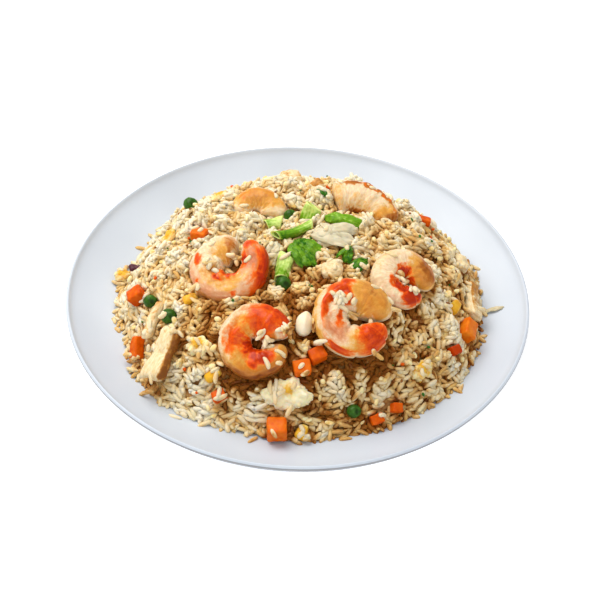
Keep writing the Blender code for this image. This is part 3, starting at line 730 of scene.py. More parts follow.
def leaf_tube(number, length, across, lie, material, squash, bend, tone):
    """A cut length of spring onion leaf: a thin open tube, creased along its veins, cut on a slant
    and paler inside, where it is cut, and towards one end."""
    sides, wall, steps, veins = 40, 0.75, 13, 14
    around = 2 * np.pi * np.arange(sides) / sides
    rings, tones = [], []
    for layer, half in ((1, across / 2), (0, across / 2 - wall)):
        ends = np.linspace(-1, 1, steps) if layer else np.linspace(1, -1, steps)
        for end in ends:
            vein = 1 + 0.012 * np.cos(veins * around) * layer
            wobble = 1 + 0.16 * np.cos(2 * around + 1.3 * end + number)
            wobble = wobble + 0.1 * np.cos(3 * around - 2 * end)
            out = half * vein * wobble * np.cos(around)
            up = half * squash * vein * wobble * np.sin(around)
            x = end * (length / 2 + 0.35 * out)
            rings.append(np.stack([x, out, up + bend * end * end], -1))
            shade = 0.07 * layer * np.cos(veins * around) + (0.0 if layer else 0.4) + 0.2 * end
            shade = shade + 0.45 * (abs(end) > 0.9)
            tones.append(shade + tone)
    points, faces = ring_loft(np.array(rings))
    node, tones = f"spring_onion_{number}", np.concatenate(tones)
    settle(node, points, faces, lie, material, "spring_onion", "sliced", tones)


def strip(size, arch, twist, ribs, curl):
    """Points, triangles and stripes of a thin arched strip, ribbed and crumpled along its length."""
    length, width, thick = size
    steps, sides = 29, 13
    own = 7.3 * width + length
    rows = []
    for layer in (1, -1):
        row = []
        for step in range(steps):
            along = 2 * step / (steps - 1) - 1
            ragged = 1 + 0.3 * noise.noise(Vector((2.6 * along, own, layer * 0.01)))
            half = width / 2 * ragged * max(0.05, 1 - abs(along) ** 2.6) ** 0.5
            tilt = math.radians(twist) * along
            side = np.linspace(-1, 1, sides) * layer
            rib = 0.06 * thick * np.cos(ribs * np.pi * side)
            rim = np.sqrt(np.maximum(0.0, 1 - np.abs(side) ** 6))
            spots = [np.full(sides, 2.4 * along), 1.3 * side, np.full(sides, own)]
            crumple = noise_at(np.stack(spots, -1), 1.0)
            lift = arch * (1 - along**2) - curl * side**2 * width / 4 + 0.16 * width * crumple
            up = lift + layer * thick / 2 * rim * 0.8 + rib
            across = side * half
            x = np.full(sides, along * length / 2) + 0.5 * side * layer
            y = across * math.cos(tilt) - up / 2 * math.sin(tilt)
            z = across * math.sin(tilt) + up * math.cos(tilt)
            row.append(np.stack([x, y, z], -1))
        rows.append(np.array(row))
    points, faces = loft(np.concatenate(rows, axis=1))
    stripe = np.tile(np.concatenate([np.cos(ribs * np.pi * np.linspace(-1, 1, sides))] * 2), steps)
    return points, faces, np.append(stripe, [0, 0])


def leaf_flake(node, size, arch, lie, material, twist, tone):
    """A slit piece of spring onion leaf, lying open."""
    points, faces, stripe = strip(size, arch, twist, 7, 0.5)
    settle(node, points, faces, lie, material, "spring_onion", "sliced", tone + 0.06 * stripe)


def onion_shreds(node, size, count, lie, material, slot="onion_white", tone=0.0):
    """Slices and shreds of a spring onion, curled over one another in a loose tuft."""
    length, width, high = size
    points, faces, tones = [], [], []
    for number in range(count):
        place = (number + 0.5) / count * 2 - 1
        wide = 0.6 if number % 3 else 0.42
        shred = (length * CHANCE.uniform(0.6, 0.9), CHANCE.uniform(0.8, 1.1) * wide * width, 1.2)
        shape, skin, stripe = strip(shred, CHANCE.uniform(0.4, 1.0) * high * 0.6, 30 * place, 5, 0.4)
        turn = np.array(Matrix.Rotation(math.radians(CHANCE.normal(0, 17)), 3, "Z"))
        along, lift = CHANCE.normal(0, 0.07) * length, CHANCE.uniform(-0.12, 0.12) * high
        faces.append(skin + number * len(shape))
        points.append(shape @ turn.T + [along, place * (width / 2 - 1.2), lift])
        tones.append(tone + 0.06 * stripe + CHANCE.uniform(-0.1, 0.12))
    points, faces, tones = np.concatenate(points), np.concatenate(faces), np.concatenate(tones)
    settle(node, points, faces, lie, material, slot, "sliced", tones)


def lay_chicken():
    meat = fried_chicken_breast()
    chicken("chicken_left", (30, 14, 8), Lie(62, 34, -140), meat, (0.2, -1.2, 0.1), 0.3, 1.5)
    chicken("chicken_left_sliver", (22, 6, 5), Lie(66, 30, -160), meat, (0.2, 0.2, 0.35), 0.25, 1.0)
    chicken("chicken_right", (26, 9, 6), Lie(93, 48, 0), meat, (0.5, 0.2, 0.5), 0.2, 1.5)
    chicken("chicken_centre", (12, 10, 7), Lie(20, 15, -60), meat, (0, 0, 0.15))
    chicken("chicken_back", (12, 9, 7), Lie(10, 20, 90), meat, (0.0, 0.1, 0.4))
    chicken("chicken_back_right", (8, 7, 6), Lie(30, 10, 90), meat, (0, 0.3, 0.6))
    chicken("chicken_white_right", (11, 9, 7), Lie(100, 40, 15), meat, (0, 0, 0))


def lay_carrots():
    # Carrot, diced and fried through: deep clear orange, with hardly a shine on its cut faces.
    root = moist_food(
        "diced_carrot", "BE3C00", "E06006", "EE861C",
        across=3.0, roughness=0.38, coat=0.04, glow=0.12, depth=0.12,
    )
    carrot(1, (12, 7, 6), Lie(70, 55, -150), root, 0.45, 0.1)
    # Carrot 2's face towards the camera lies in shade, and its tone is raised as painted light.
    carrot(2, (10, 10, 9.6), Lie(5, 8), root, tone=0.2)
    carrot(3, (9, 7, 7), Lie(30, 20), root)
    carrot(4, (9, 7.5, 7), Lie(12, 25), root, tone=0.15)
    carrot(5, (9, 6, 6), Lie(-20, 10, 150), root, tone=0.2)
    carrot(6, (9, 8, 8), Lie(15, 35, -170), root)
    carrot(7, (12, 8, 7), Lie(80, 45, -15), root, tone=0.35)
    carrot(8, (6, 5, 5), Lie(40, 40, -30), root, tone=-0.5)
    carrot(9, (6, 5, 5), Lie(10, 40, -55), root)
    carrot(10, (7, 5, 5), Lie(30, 40, -60), root)
    carrot(11, (7, 5, 4), Lie(0, 20, 30), root)
    carrot(12, (7, 5.5, 5), Lie(20, 30, -120), root)


def lay_peas():
    # Pea skin, slack and oiled: dark green with small bright glints, yellow-green where it is thin.
    skin = moist_food(
        "garden_pea", "1E3C08", "386818", "AAD270",
        across=2.4, roughness=0.34, coat=0.2, glow=0.1, depth=0.4,
    )
    for number, across in enumerate((8.8, 8.2, 7.6, 7.4, 7.6, 8.4), 1):
        pea(number, across, skin)


def lay_egg():
    # Egg, scrambled before the yolk was all mixed in: cream to nearly white, with light going deep
    # into it, and yolk yellow in patches.
    curd = moist_food(
        "scrambled_egg", "EAB43C", "FBE8B2", "FEF6DC",
        across=2.6, roughness=0.5, coat=0.06, glow=0.4, depth=0.5,
    )
    # The front curd faces down into shade, and its tone is raised as painted light.
    egg("egg_front", (26, 14, 10), Lie(4, 36), curd, 0.1)
    egg("egg_front_right", (13, 9, 8), Lie(60, 35, -45), curd, -0.2)
    egg("egg_front_left", (13, 10, 7), Lie(10, 30, -125), curd, -0.05)
    egg("egg_left", (9, 7, 6), Lie(20), curd, -0.2)
    egg("egg_back_left", (10, 8, 6), Lie(50, 20, 165), curd, -0.2)
    egg("egg_back", (10, 8, 6), Lie(0, 20, 120), curd, -0.1)


def lay_sweetcorn():
    # Sweetcorn: tight smooth skin, warm yellow that glows at its edges.
    kernel = moist_food(
        "sweetcorn_kernel", "D08A12", "EEBA34", "F8DE88",
        across=4.0, roughness=0.32, coat=0.12, glow=0.3, depth=0.08,
    )
    sweetcorn(1, (8, 6, 5), Lie(20, 20, -150), kernel)
    sweetcorn(2, (9, 7, 5.5), Lie(60, 30, -10), kernel)
    sweetcorn(3, (9, 6, 5.5), Lie(30, 40, -115), kernel)
    sweetcorn(4, (8, 7, 5.5), Lie(70, 20), kernel)


def lay_spring_onion():
    # Green leaf of spring onion, just wilted: bright green, paler where the light comes through.
    leaf = moist_food(
        "spring_onion_leaf", "2C660A", "78AA1E", "DCF090",
        across=2.6, roughness=0.38, coat=0.1, glow=0.35, depth=0.1,
    )
    # White of spring onion, softened: a dull ivory.
    bulb = moist_food(
        "spring_onion_bulb", "CEC29E", "DED3B6", "F0EAD8",
        across=4.0, roughness=0.4, coat=0.06, glow=0.25, depth=0.1,
    )
    leaf_tube(1, 8, 9.0, Lie(84, 66, -80), leaf, 0.85, 0, 0.25)
    leaf_tube(2, 22, 6.6, Lie(27), leaf, 0.75, 2.2, 0.05)
    leaf_tube(3, 9, 8.0, Lie(10, 12), leaf, 0.7, 0, 0.35)
    onion_shreds("spring_onion_4", (20, 14, 6), 6, Lie(-56, 12), leaf, "spring_onion", -0.08)
    leaf_tube(5, 16, 7.6, Lie(80, 8), leaf, 0.6, 1.0, 0.25)
    leaf_flake("spring_onion_6", (22, 8, 1.5), 3.0, Lie(-14, 25), leaf, 14, 0.05)
    onion_shreds("spring_onion_7", (11, 8, 4), 4, Lie(60, 10), leaf, "spring_onion", -0.22)
    onion_shreds("spring_onion_8", (11, 8, 4), 4, Lie(20, 10, -60), leaf, "spring_onion", -0.25)
    leaf_flake("spring_onion_9", (9, 3.5, 1.5), 1.5, Lie(-50, 10, 90), leaf, 10, -0.4)
    onion_shreds("onion_white_1", (27, 13, 5.0), 6, Lie(-12, 14), bulb)
    onion_shreds("onion_white_2", (10, 9, 4.0), 4, Lie(60, 10), bulb)


def garlic_clove():
    """A peeled clove: a smooth long wedge with one blunt ridge."""
    # Garlic, hardly cooked: waxy and nearly white, with a little light in it.
    clove = moist_food(
        "garlic_clove", "EADBB4", "F8EED4", "FFFAEC",
        across=5.0, roughness=0.35, coat=0.12, glow=0.35, depth=0.05,
    )
    points, faces = ball(4)
    size = np.array([13.5, 9.4, 7.4])
    points = points * size / 2
    points[:, 1:] *= (1 - 0.25 * (points[:, 0:1] / (size[0] / 2)) ** 3) * 0.97
    points[:, 2] += 0.6 * np.exp(-((points[:, 1] / 1.2) ** 2)) * (points[:, 2] > 0)
    settle("garlic_clove", roughen(points, 5, 0.25), faces, Lie(82, 28), clove, "garlic")


# --- the rice --------------------------------------------------------------------------------

# The field of heights that the rice is laid on: a square of cells over the plate.
CELL = 0.5
HALF_FIELD = 116
FIELD = np.arange(-HALF_FIELD, HALF_FIELD + CELL / 2, CELL)


def cell_of(value):
    """The row or column of the field's cell at a place in millimetres."""
    return np.clip(np.rint((value + HALF_FIELD) / CELL).astype(int), 0, len(FIELD) - 1)


def heap_reach(bearing):
    """How far the rice spreads over the plate on a bearing in radians."""
    lean = max(0.0, math.cos(bearing - math.radians(HEAP_SPREAD_BEARING)))
    lump = noise.noise(Vector((2.3 * math.cos(bearing), 2.3 * math.sin(bearing), 5.2)))
    return HEAP_REACH + HEAP_SPREAD_RIGHT * lean**2 + OUTLINE_LUMP * lump


def noise_field(across, layer, inside, kind=noise.noise):
    """Noise over the field at one height, worked out only where the rice is."""
    ys, xs = np.nonzero(inside)
    made = np.zeros(inside.shape)
    for row, column in zip(ys, xs):
        made[row, column] = kind(Vector((FIELD[column] / across, FIELD[row] / across, layer)))
    return made


def clump_crown(place):
    """1 inside a clump of rice, falling to 0 in the crease between it and the next."""
    near = noise.voronoi(place)[0]
    return min(1.0, (near[1] - near[0]) / 0.55)


def spread(field, cells):
    """A field blurred over some cells, twice, so that its edges are smooth."""
    for _ in range(2):
        for axis in (0, 1):
            total = np.cumsum(np.insert(field, 0, 0, axis=axis), axis=axis)
            pad = [(0, 0), (0, 0)]
            pad[axis] = (cells, cells)
            total = np.pad(total, pad, mode="edge")
            high = np.take(total, range(2 * cells + 1, total.shape[axis]), axis=axis)
            low = np.take(total, range(0, total.shape[axis] - 2 * cells - 1), axis=axis)
            field = (high - low) / (2 * cells + 1)
    return field


# A patch where the rice's tone is deeper, partly soy stain and partly painted light and shade, mostly
# over the heap's front: its middle, how far it reaches, and how much deeper the tone is there, or
# paler where `deeper` is below 0.
SoyAndShade = namedtuple("SoyAndShade", "x y across deeper")
SOY_AND_SHADE_SPOTS = [
    SoyAndShade(5, -40, 44, 0.44), SoyAndShade(-12, -62, 22, 0.27), SoyAndShade(60, -52, 20, 0.19), SoyAndShade(30, -80, 12, 0.15),
    SoyAndShade(-60, -30, 9, 0.25), SoyAndShade(52, -70, 14, 0.15), SoyAndShade(-35, -80, 9, 0.2), SoyAndShade(-42, -52, 17, 0.6),
    SoyAndShade(79, -33, 12, -0.25), SoyAndShade(68, -22, 8, -0.2), SoyAndShade(0, -84, 12, -0.3), SoyAndShade(20, -95, 60, 0.18),
    SoyAndShade(82, -40, 44, 0.18), SoyAndShade(75, 5, 40, 0.18), SoyAndShade(-60, 30, 70, -0.06), SoyAndShade(-52, -86, 26, -0.36),
]


class Bed:
    """Heights over the plate, in millimetres: how high the rice should come, how high it is so far,
    and the toppings' lower and upper surfaces. Also how the grains lie and how brown they are."""

    def __init__(self):
        """The heap without its toppings. The second number of each noise field keeps it apart from
        the others, and the solids' heap has the same two for its broad and small clumps."""
        xs, ys = np.meshgrid(FIELD, FIELD)
        radius, bearing = np.hypot(xs, ys), np.arctan2(ys, xs)
        circle = np.linspace(-np.pi, np.pi, 721)
        reach = np.interp(bearing, circle, [heap_reach(b) for b in circle])
        self.share = radius / reach
        self.plate = coupe_height(radius)
        inside = self.share < 1.02
        power = FRONT_POWER + (BACK_POWER - FRONT_POWER) * (0.5 + 0.5 * np.sin(bearing))
        edge = coupe_height(reach) + EDGE_THICKNESS
        fade = np.clip(1.1 - self.share**8, 0, 1)
        smooth = edge + HEAP_HEIGHT * (1 - np.minimum(self.share, 1) ** power)
        smooth = smooth + BROAD_CLUMP * noise_field(BROAD_CLUMP_ACROSS, 3.1, inside) * fade
        small = noise_field(SMALL_CLUMP_ACROSS, 7.7, inside)
        # Sticky clumps of a dozen grains or so, round above, with creases between them.
        clumps = spread(noise_field(CLUMP_ACROSS, 1.7, inside, clump_crown), 1) ** 0.7
        bumps = np.abs(noise_field(BUMP_ACROSS, 6.6, inside)) - 0.2
        crest = clumps - 0.62
        level = smooth + (SMALL_CLUMP * small + CLUMP * crest + BUMP * bumps) * fade
        self.level = np.where(inside, np.maximum(level, self.plate), self.plate)
        self.smooth = np.where(inside, smooth, self.plate)
        # Where no topping lies, the surfaces of toppings are out of the way, below and above.
        self.over = np.full(xs.shape, -1.0)
        self.under = np.full(xs.shape, 999.0)
        # The bearing that grains lie along, in radians: roughly the same within a clump.
        self.comb = 9 * noise_field(COMB_ACROSS, 8.8, inside)
        # Soy pools in pockets, and runs down the creases, where the deeper tone is also painted shade.
        pockets = np.clip(noise_field(POCKET_ACROSS, 9.3, inside) + 0.1, 0, 1)
        self.tone = 0.5 * pockets + 0.15 * noise_field(DRIFT_ACROSS, 2.2, inside) - 0.62 * crest
        soy_and_shade_tone = np.zeros(xs.shape)
        for soy_and_shade_spot in SOY_AND_SHADE_SPOTS:
            away = np.hypot(xs - soy_and_shade_spot.x, ys - soy_and_shade_spot.y) / soy_and_shade_spot.across
            soy_and_shade_tone = soy_and_shade_tone + soy_and_shade_spot.deeper * np.exp(-2 * away**2)
        self.tone = self.tone + soy_and_shade_tone
        # Painted shade: how much browner a grain is for each millimetre down in a gap.
        self.gap = 0.09 + 0.35 * np.clip(soy_and_shade_tone, 0, 0.35)

    def mark(self, points, faces):
        """Notes the lower and upper surface of a topping over the cells that it covers."""
        tree = BVHTree.FromPolygons([Vector(p) for p in points], faces.tolist())
        low, high = points.min(axis=0), points.max(axis=0)
        for row in range(cell_of(low[1]), cell_of(high[1]) + 1):
            for column in range(cell_of(low[0]), cell_of(high[0]) + 1):
                x, y = FIELD[column], FIELD[row]
                top = tree.ray_cast(Vector((x, y, 200)), Vector((0, 0, -1)))[0]
                if top is None:
                    continue
                base = tree.ray_cast(Vector((x, y, -50)), Vector((0, 0, 1)))[0]
                self.over[row, column] = max(self.over[row, column], top.z)
                self.under[row, column] = min(self.under[row, column], base.z)

    def open_up(self):
        """Sets the core's height, and says where toppings stand in the way of the grains."""
        covered = self.over > 0
        # The rice is pushed up a little round each topping.
        near = spread(covered.astype(float), 7)
        self.level = self.level + 2.0 * near * np.clip(1 - self.share**6, 0, 1) * ~covered
        # The core stays some two grains' thickness down, also under a topping.
        below_smooth, below_level, below_topping, off_plate = 4.5, 4.4, 4.0, 0.3
        core = np.minimum(self.smooth - below_smooth, spread(self.level, 3) - below_level)
        core = np.where(covered, np.minimum(core, self.under - below_topping), core)
        self.core = np.maximum(core, self.plate + off_plate)
        # Grains lie over what is buried of a topping.
        buried = covered & (self.over < self.level - 1.2)
        self.height = np.where(buried, np.maximum(self.core, self.over), self.core)
        # Under the rest of it the rice comes up to its base, and no grain stands through it.
        self.level = np.where(covered & ~buried, np.minimum(self.level, self.under - 0.7), self.level)

    def brownness(self, points):
        """How brown each point of the grains is: as the soy ran, plus painted shade down in the gaps.
        """
        row, column = cell_of(points[:, 1]), cell_of(points[:, 0])
        # Painted shade: the farther a point lies below the rice's skin, the browner it is.
        sunk = np.clip(self.skin[row, column] + 0.5 - points[:, 2], 0, 4)
        soy_and_shade_tone = self.tone[row, column] + self.gap[row, column] * sunk
        # Grains that fell on a topping are cleaner.
        over = self.over[row, column]
        on_topping = (over > 0) & (points[:, 2] > over - 1)
        return np.where(on_topping, LOOSE_TONE, soy_and_shade_tone)


# How a kind of grain looks: its share of the rice, its mean length, width and thickness, its tones
# where soy missed it, where oil and a little soy turned it golden, and where soy soaked it, and how
# wet it looks.
# The deep tone also stands for painted shade, down in the gaps and creases.
Kind = namedtuple("Kind", "name share length width thick pale mid deep gloss")
KINDS = [
    Kind("rice_pale", 0.26, 7.6, 2.65, 2.3, "F0E1C4", "E8CA96", "965A1C", 0.03),
    Kind("rice_pearly", 0.24, 7.9, 2.6, 2.25, "F3E7CF", "EACE9C", "9C6222", 0.05),
    Kind("rice_golden", 0.18, 7.5, 2.65, 2.3, "EDDCB6", "E0BA7A", "8E541A", 0.05),
    Kind("rice_oiled", 0.14, 7.7, 2.5, 2.2, "E9D7B0", "D8AE66", "824816", 0.1),
    Kind("rice_broken", 0.18, 4.8, 2.65, 2.3, "F1E3C6", "E8CA96", "965A1C", 0.04),
]
GRAIN_STEPS = np.array([-0.93, -0.6, 0.0, 0.6, 0.93])
GRAIN_SIDES = 6
VARIANTS = 12
# How far from one grain's tone the next one's is, and the tone of grains that fell on toppings.
TONE_SCATTER, LOOSE_TONE = 0.055, 0.18
# The steepest that a grain stands along its length, in the heap and loose on top, and across it, in
# radians. The share of its thickness that it sinks into what it rests on, and how many millimetres
# it may then stand out over the level.
STEEPEST, LOOSE_STEEPEST, STEEPEST_ACROSS = 1.2, 0.45, 0.9
SUNK, STAND_OUT = 0.5, 1.6
# Laps of laying over the heap, each with a grain every so many millimetres. How far the grains'
# bearings scatter, the share of them that poke out of the slope, and by how much at most.
LAPS, SPACING = 9, 2.7
BEARING_SCATTER, POKING, POKE = 0.75, 0.3, 0.95
# The share of the loose grains that are of any kind. The rest are broken.
LOOSE_ANY_KIND = 0.45


def grain_form(kind):
    """One cooked grain: long, a little flat and bent, and fuller at one end."""
    length = kind.length * CHANCE.uniform(0.84, 1.16)
    width, thick = kind.width * CHANCE.uniform(0.88, 1.14), kind.thick * CHANCE.uniform(0.88, 1.14)
    bend, fuller = CHANCE.uniform(-0.6, 0.6), CHANCE.uniform(-0.16, 0.16)
    around = 2 * np.pi * (np.arange(GRAIN_SIDES) + CHANCE.random()) / GRAIN_SIDES
    rings = []
    for along in GRAIN_STEPS:
        girth = (1 - abs(along) ** 3.2) ** 0.5 * (1 + fuller * along) * CHANCE.uniform(0.93, 1.06)
        x = np.full(GRAIN_SIDES, along * length / 2)
        y = width / 2 * girth * np.cos(around) + bend * (along**2 - 0.4)
        z = thick / 2 * girth * np.sin(around)
        rings.append(np.stack([x, y, z], -1))
    points, faces = loft(np.array(rings))
    # The ends come to a blunt point.
    points[-2] -= [length * 0.035, 0, 0]
    points[-1] += [length * 0.035, 0, 0]
    return points, faces, (length, width, thick)


# Where a grain is felt for what it rests on, and the finer spots where it then raises the bed, as
# shares of its length and width.
FIFTHS = (-0.4, -0.2, 0.0, 0.2, 0.4)
FEEL = np.array([(u, v) for u in FIFTHS for v in (-0.3, 0.0, 0.3)])
PRINT = np.array([(u, v) for u in np.linspace(-0.46, 0.46, 11) for v in FIFTHS])


def grain_top(spots, thick):
    """Height of a grain's upper side over its middle plane at spots given as shares of its size."""
    return thick / 2 * np.sqrt((1 - (2 * spots[:, 0]) ** 2) * (1 - (2 * spots[:, 1]) ** 2))


def rest(heights, form, x, y, yaw, level=None, poke=0.0, steepest=STEEPEST):
    """Lays a grain on the slope under it, no steeper than `steepest`, sunk a little into its
    neighbours, as sticky rice lies, and raises the heights to its top. `poke` tips it out of the
    slope. Returns its place and turn, or None if it doesn't fit below the level."""
    length, width, thick = form
    along = np.array([math.cos(yaw), math.sin(yaw)])
    across = np.array([-math.sin(yaw), math.cos(yaw)])
    spots = np.array([x, y]) + FEEL[:, :1] * length * along + FEEL[:, 1:] * width * across
    rows, columns = cell_of(spots[:, 1]), cell_of(spots[:, 0])
    under = heights[rows, columns]
    u, v = FEEL[:, 0] * length, FEEL[:, 1] * width
    pitch = math.atan((u * under).sum() / (u * u).sum()) + CHANCE.normal(0, 0.15) + poke
    roll = 0.8 * math.atan((v * under).sum() / (v * v).sum()) + CHANCE.normal(0, 0.25)
    pitch = min(max(pitch, -steepest), steepest)
    roll = min(max(roll, -STEEPEST_ACROSS), STEEPEST_ACROSS)
    lift = grain_top(FEEL, thick) / math.cos(pitch)
    clear = under - u * math.sin(pitch) - v * math.sin(roll) + lift
    # The few highest spots sink in, and a poking grain goes deeper.
    z = np.sort(clear)[-5] - SUNK * thick - abs(poke) * 1.5
    if level is not None and (z - level[rows, columns]).max() > STAND_OUT:
        return None
    reach = length * math.cos(pitch)
    spots = np.array([x, y]) + PRINT[:, :1] * reach * along + PRINT[:, 1:] * width * across
    tilted = PRINT[:, 0] * length * math.sin(pitch) + PRINT[:, 1] * width * math.sin(roll)
    top = z + tilted + grain_top(PRINT, thick)
    np.maximum.at(heights, (cell_of(spots[:, 1]), cell_of(spots[:, 0])), top)
    turn = Matrix.Rotation(yaw, 3, "Z") @ Matrix.Rotation(-pitch, 3, "Y")
    return np.array([x, y, z]), np.array(turn @ Matrix.Rotation(roll, 3, "X"))


def any_kind():
    """The number of a kind of grain, each as likely as its share of the rice."""
    pick = np.cumsum([kind.share for kind in KINDS])
    return min(int(np.searchsorted(pick, CHANCE.random())), len(KINDS) - 1)


def lay_rice(bed, forms):
    """Fills the heap from its core up to its level. Returns the grains of each kind."""
    grains = [[] for _ in KINDS]
    farthest = 107
    lattice = np.arange(-farthest - 1, farthest + 1, SPACING)
    places = np.array([(x, y) for x in lattice for y in lattice if math.hypot(x, y) < farthest])
    for _ in range(LAPS):
        for place in CHANCE.permutation(places):
            x, y = place + CHANCE.uniform(-SPACING / 2, SPACING / 2, 2)
            row, column = cell_of(y), cell_of(x)
            if bed.share[row, column] > 1.0:
                continue
            if bed.height[row, column] > bed.level[row, column] - 0.4:
                continue
            number, form = any_kind(), int(CHANCE.integers(VARIANTS))
            yaw = bed.comb[row, column] + CHANCE.normal(0, BEARING_SCATTER)
            poke = CHANCE.uniform(-POKE, POKE) if CHANCE.random() < POKING else 0.0
            rested = rest(bed.height, forms[number][form][2], x, y, yaw, bed.level, poke)
            if rested:
                grains[number].append((form, *rested))
    return grains


# Grains caught together in the curl or the slit of a prawn, or between the toppings.
Nest = namedtuple("Nest", "x y across count")
NESTS = [
    Nest(-15, -66, 3.0, 9), Nest(-4, -64, 3.0, 10), Nest(22, -45, 3.5, 12), Nest(29, -50, 2.5, 6),
    Nest(-46, -19, 4.0, 9), Nest(-34, -16, 3.5, 7), Nest(55, -22, 2.5, 6), Nest(61, -28, 2.5, 5),
    Nest(-84, -55, 3.5, 6), Nest(4, -30, 5.0, 6), Nest(10, 20, 5.0, 6),
]
# How many grains lie on each topping that has some.
STREWN = {
    "prawn_front_left": 2, "prawn_front_right": 2, "prawn_left": 3, "prawn_right": 1,
    "prawn_back_right": 1, "prawn_back_left": 2, "spring_onion_7": 1, "onion_white_1": 1,
    "chicken_left": 2, "carrot_7": 1, "spring_onion_8": 1, "egg_front": 7, "carrot_5": 2,
    "carrot_10": 1, "carrot_12": 2, "egg_front_left": 4, "egg_front_right": 4, "corn_3": 2,
    "corn_4": 1, "chicken_centre": 3, "spring_onion_5": 1, "onion_white_2": 2,
    "chicken_left_sliver": 4,
}
# Kinds of topping that no grains lean against, and how many grains lie on the plate.
KEPT_CLEAN = ("garlic", "spring_onion", "onion_white", "carrot", "pea")
ON_PLATE = 60


def loose_places():
    """Places of the grains that lie on the toppings, at their edges, in nests and on the plate."""
    places = []
    for node, count in STREWN.items():
        low, high = (np.array(corner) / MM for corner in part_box(node))
        middle, half = (low + high) / 2, (high - low) / 2
        places += [middle[:2] + half[:2] * CHANCE.uniform(-0.8, 0.8, 2) for _ in range(count)]
    for slot, points, _ in TOPPINGS:
        if slot in KEPT_CLEAN:
            continue
        low, high = points.min(axis=0)[:2], points.max(axis=0)[:2]
        for _ in range(int((high - low).sum() / 7)):
            bearing, away = CHANCE.uniform(0, 2 * math.pi), CHANCE.uniform(0.5, 0.58)
            edge = np.array([math.cos(bearing), math.sin(bearing)]) * (high - low) * away
            places.append((low + high) / 2 + edge)
    for nest in NESTS:
        places += [[nest.x, nest.y] + CHANCE.normal(0, nest.across / 2, 2) for _ in range(nest.count)]
    for _ in range(ON_PLATE):
        bearing = CHANCE.uniform(0, 2 * math.pi)
        away = heap_reach(bearing) + abs(CHANCE.normal(0, 1.8)) + 0.3
        places.append([away * math.cos(bearing), away * math.sin(bearing)])
    return places


def drop_loose(bed, forms, grains):
    """Adds the loose grains, more of them broken than in the heap, and notes the rice's skin."""
    top = np.maximum(bed.height, bed.over)
    for x, y in loose_places():
        number, broken = any_kind(), len(KINDS) - 1
        number = number if CHANCE.random() < LOOSE_ANY_KIND else broken
        form = int(CHANCE.integers(VARIANTS))
        yaw = CHANCE.uniform(0, 2 * math.pi)
        rested = rest(top, forms[number][form][2], x, y, yaw, steepest=LOOSE_STEEPEST)
        grains[number].append((form, *rested))
    bed.height = top
    bed.skin = spread(top, 5)


def join_grains(kind, forms, grains, bed):
    """One mesh of all the grains of a kind, each with its own tone."""
    points, faces, tones = [], [], []
    for number, (form, place, turn) in enumerate(grains):
        shape, skin, _ = forms[form]
        points.append(shape @ turn.T + place)
        faces.append(skin + number * len(shape))
        tones.append(np.full(len(shape), CHANCE.normal(0, TONE_SCATTER)))
    points, faces, tones = np.concatenate(points), np.concatenate(faces), np.concatenate(tones)
    tones = tones + bed.brownness(points)
    make_piece(kind.name, points, faces, steamed_rice(kind), "rice", ["fried_rice"], tone=tones)


def rice_core(bed):
    """The smaller core that the grains lie on, closed below on the plate."""
    sectors, circles, off_plate = 180, 64, 0.15
    bearings = 2 * np.pi * np.arange(sectors) / sectors
    reach = np.array([heap_reach(b) for b in bearings]) - 1.0
    rings = []
    for share in np.linspace(0.01, 1.0, circles):
        x, y = reach * share * np.cos(bearings), reach * share * np.sin(bearings)
        rings.append(np.stack([x, y, bed.core[cell_of(y), cell_of(x)]], -1))
    for share in (0.98, 0.5, 0.01):
        x, y = reach * share * np.cos(bearings), reach * share * np.sin(bearings)
        rings.append(np.stack([x, y, coupe_height(reach * share) + off_plate], -1))
    make_piece("rice_core", *loft(np.array(rings)), soy_and_shade_core(), "rice", ["fried_rice"])


def crumbs(name, count, size, material, slot, bed, tone=0.0):
    """Small bits of one food through the top of the rice, joined in one mesh."""
    shape, skin = ball(2)
    points, faces, local = [], [], []
    while len(points) < count:
        used = len(points)
        bearing, away = CHANCE.uniform(0, 2 * math.pi), 99 * math.sqrt(CHANCE.random())
        x, y = away * math.cos(bearing), away * math.sin(bearing)
        row, column = cell_of(y), cell_of(x)
        if bed.share[row, column] > 0.97 or bed.over[row, column] > bed.level[row, column]:
            continue
        half = np.array(size) / 2 * CHANCE.uniform(0.6, 1.3, 3)
        bit = roughen(shape * half, 1.6, 0.35 * half.min(), CHANCE.uniform(0, 90))
        turn = Matrix.Rotation(CHANCE.uniform(0, 6.28), 3, "Z")
        turn = turn @ Matrix.Rotation(CHANCE.normal(0, 0.5), 3, "Y")
        bit = bit @ np.array(turn).T + [x, y, bed.height[row, column] + 0.2 * half[2]]
        points.append(bit)
        # Each bit has its own place in the pattern of its material.
        local.append(bit + 9 * used)
        faces.append(skin + used * len(shape))
    points = np.concatenate(points)
    make_piece(
        name, points, np.concatenate(faces), material, slot, ["fried_rice"],
        local=np.concatenate(local) * MM, tone=np.full(len(points), tone),
    )


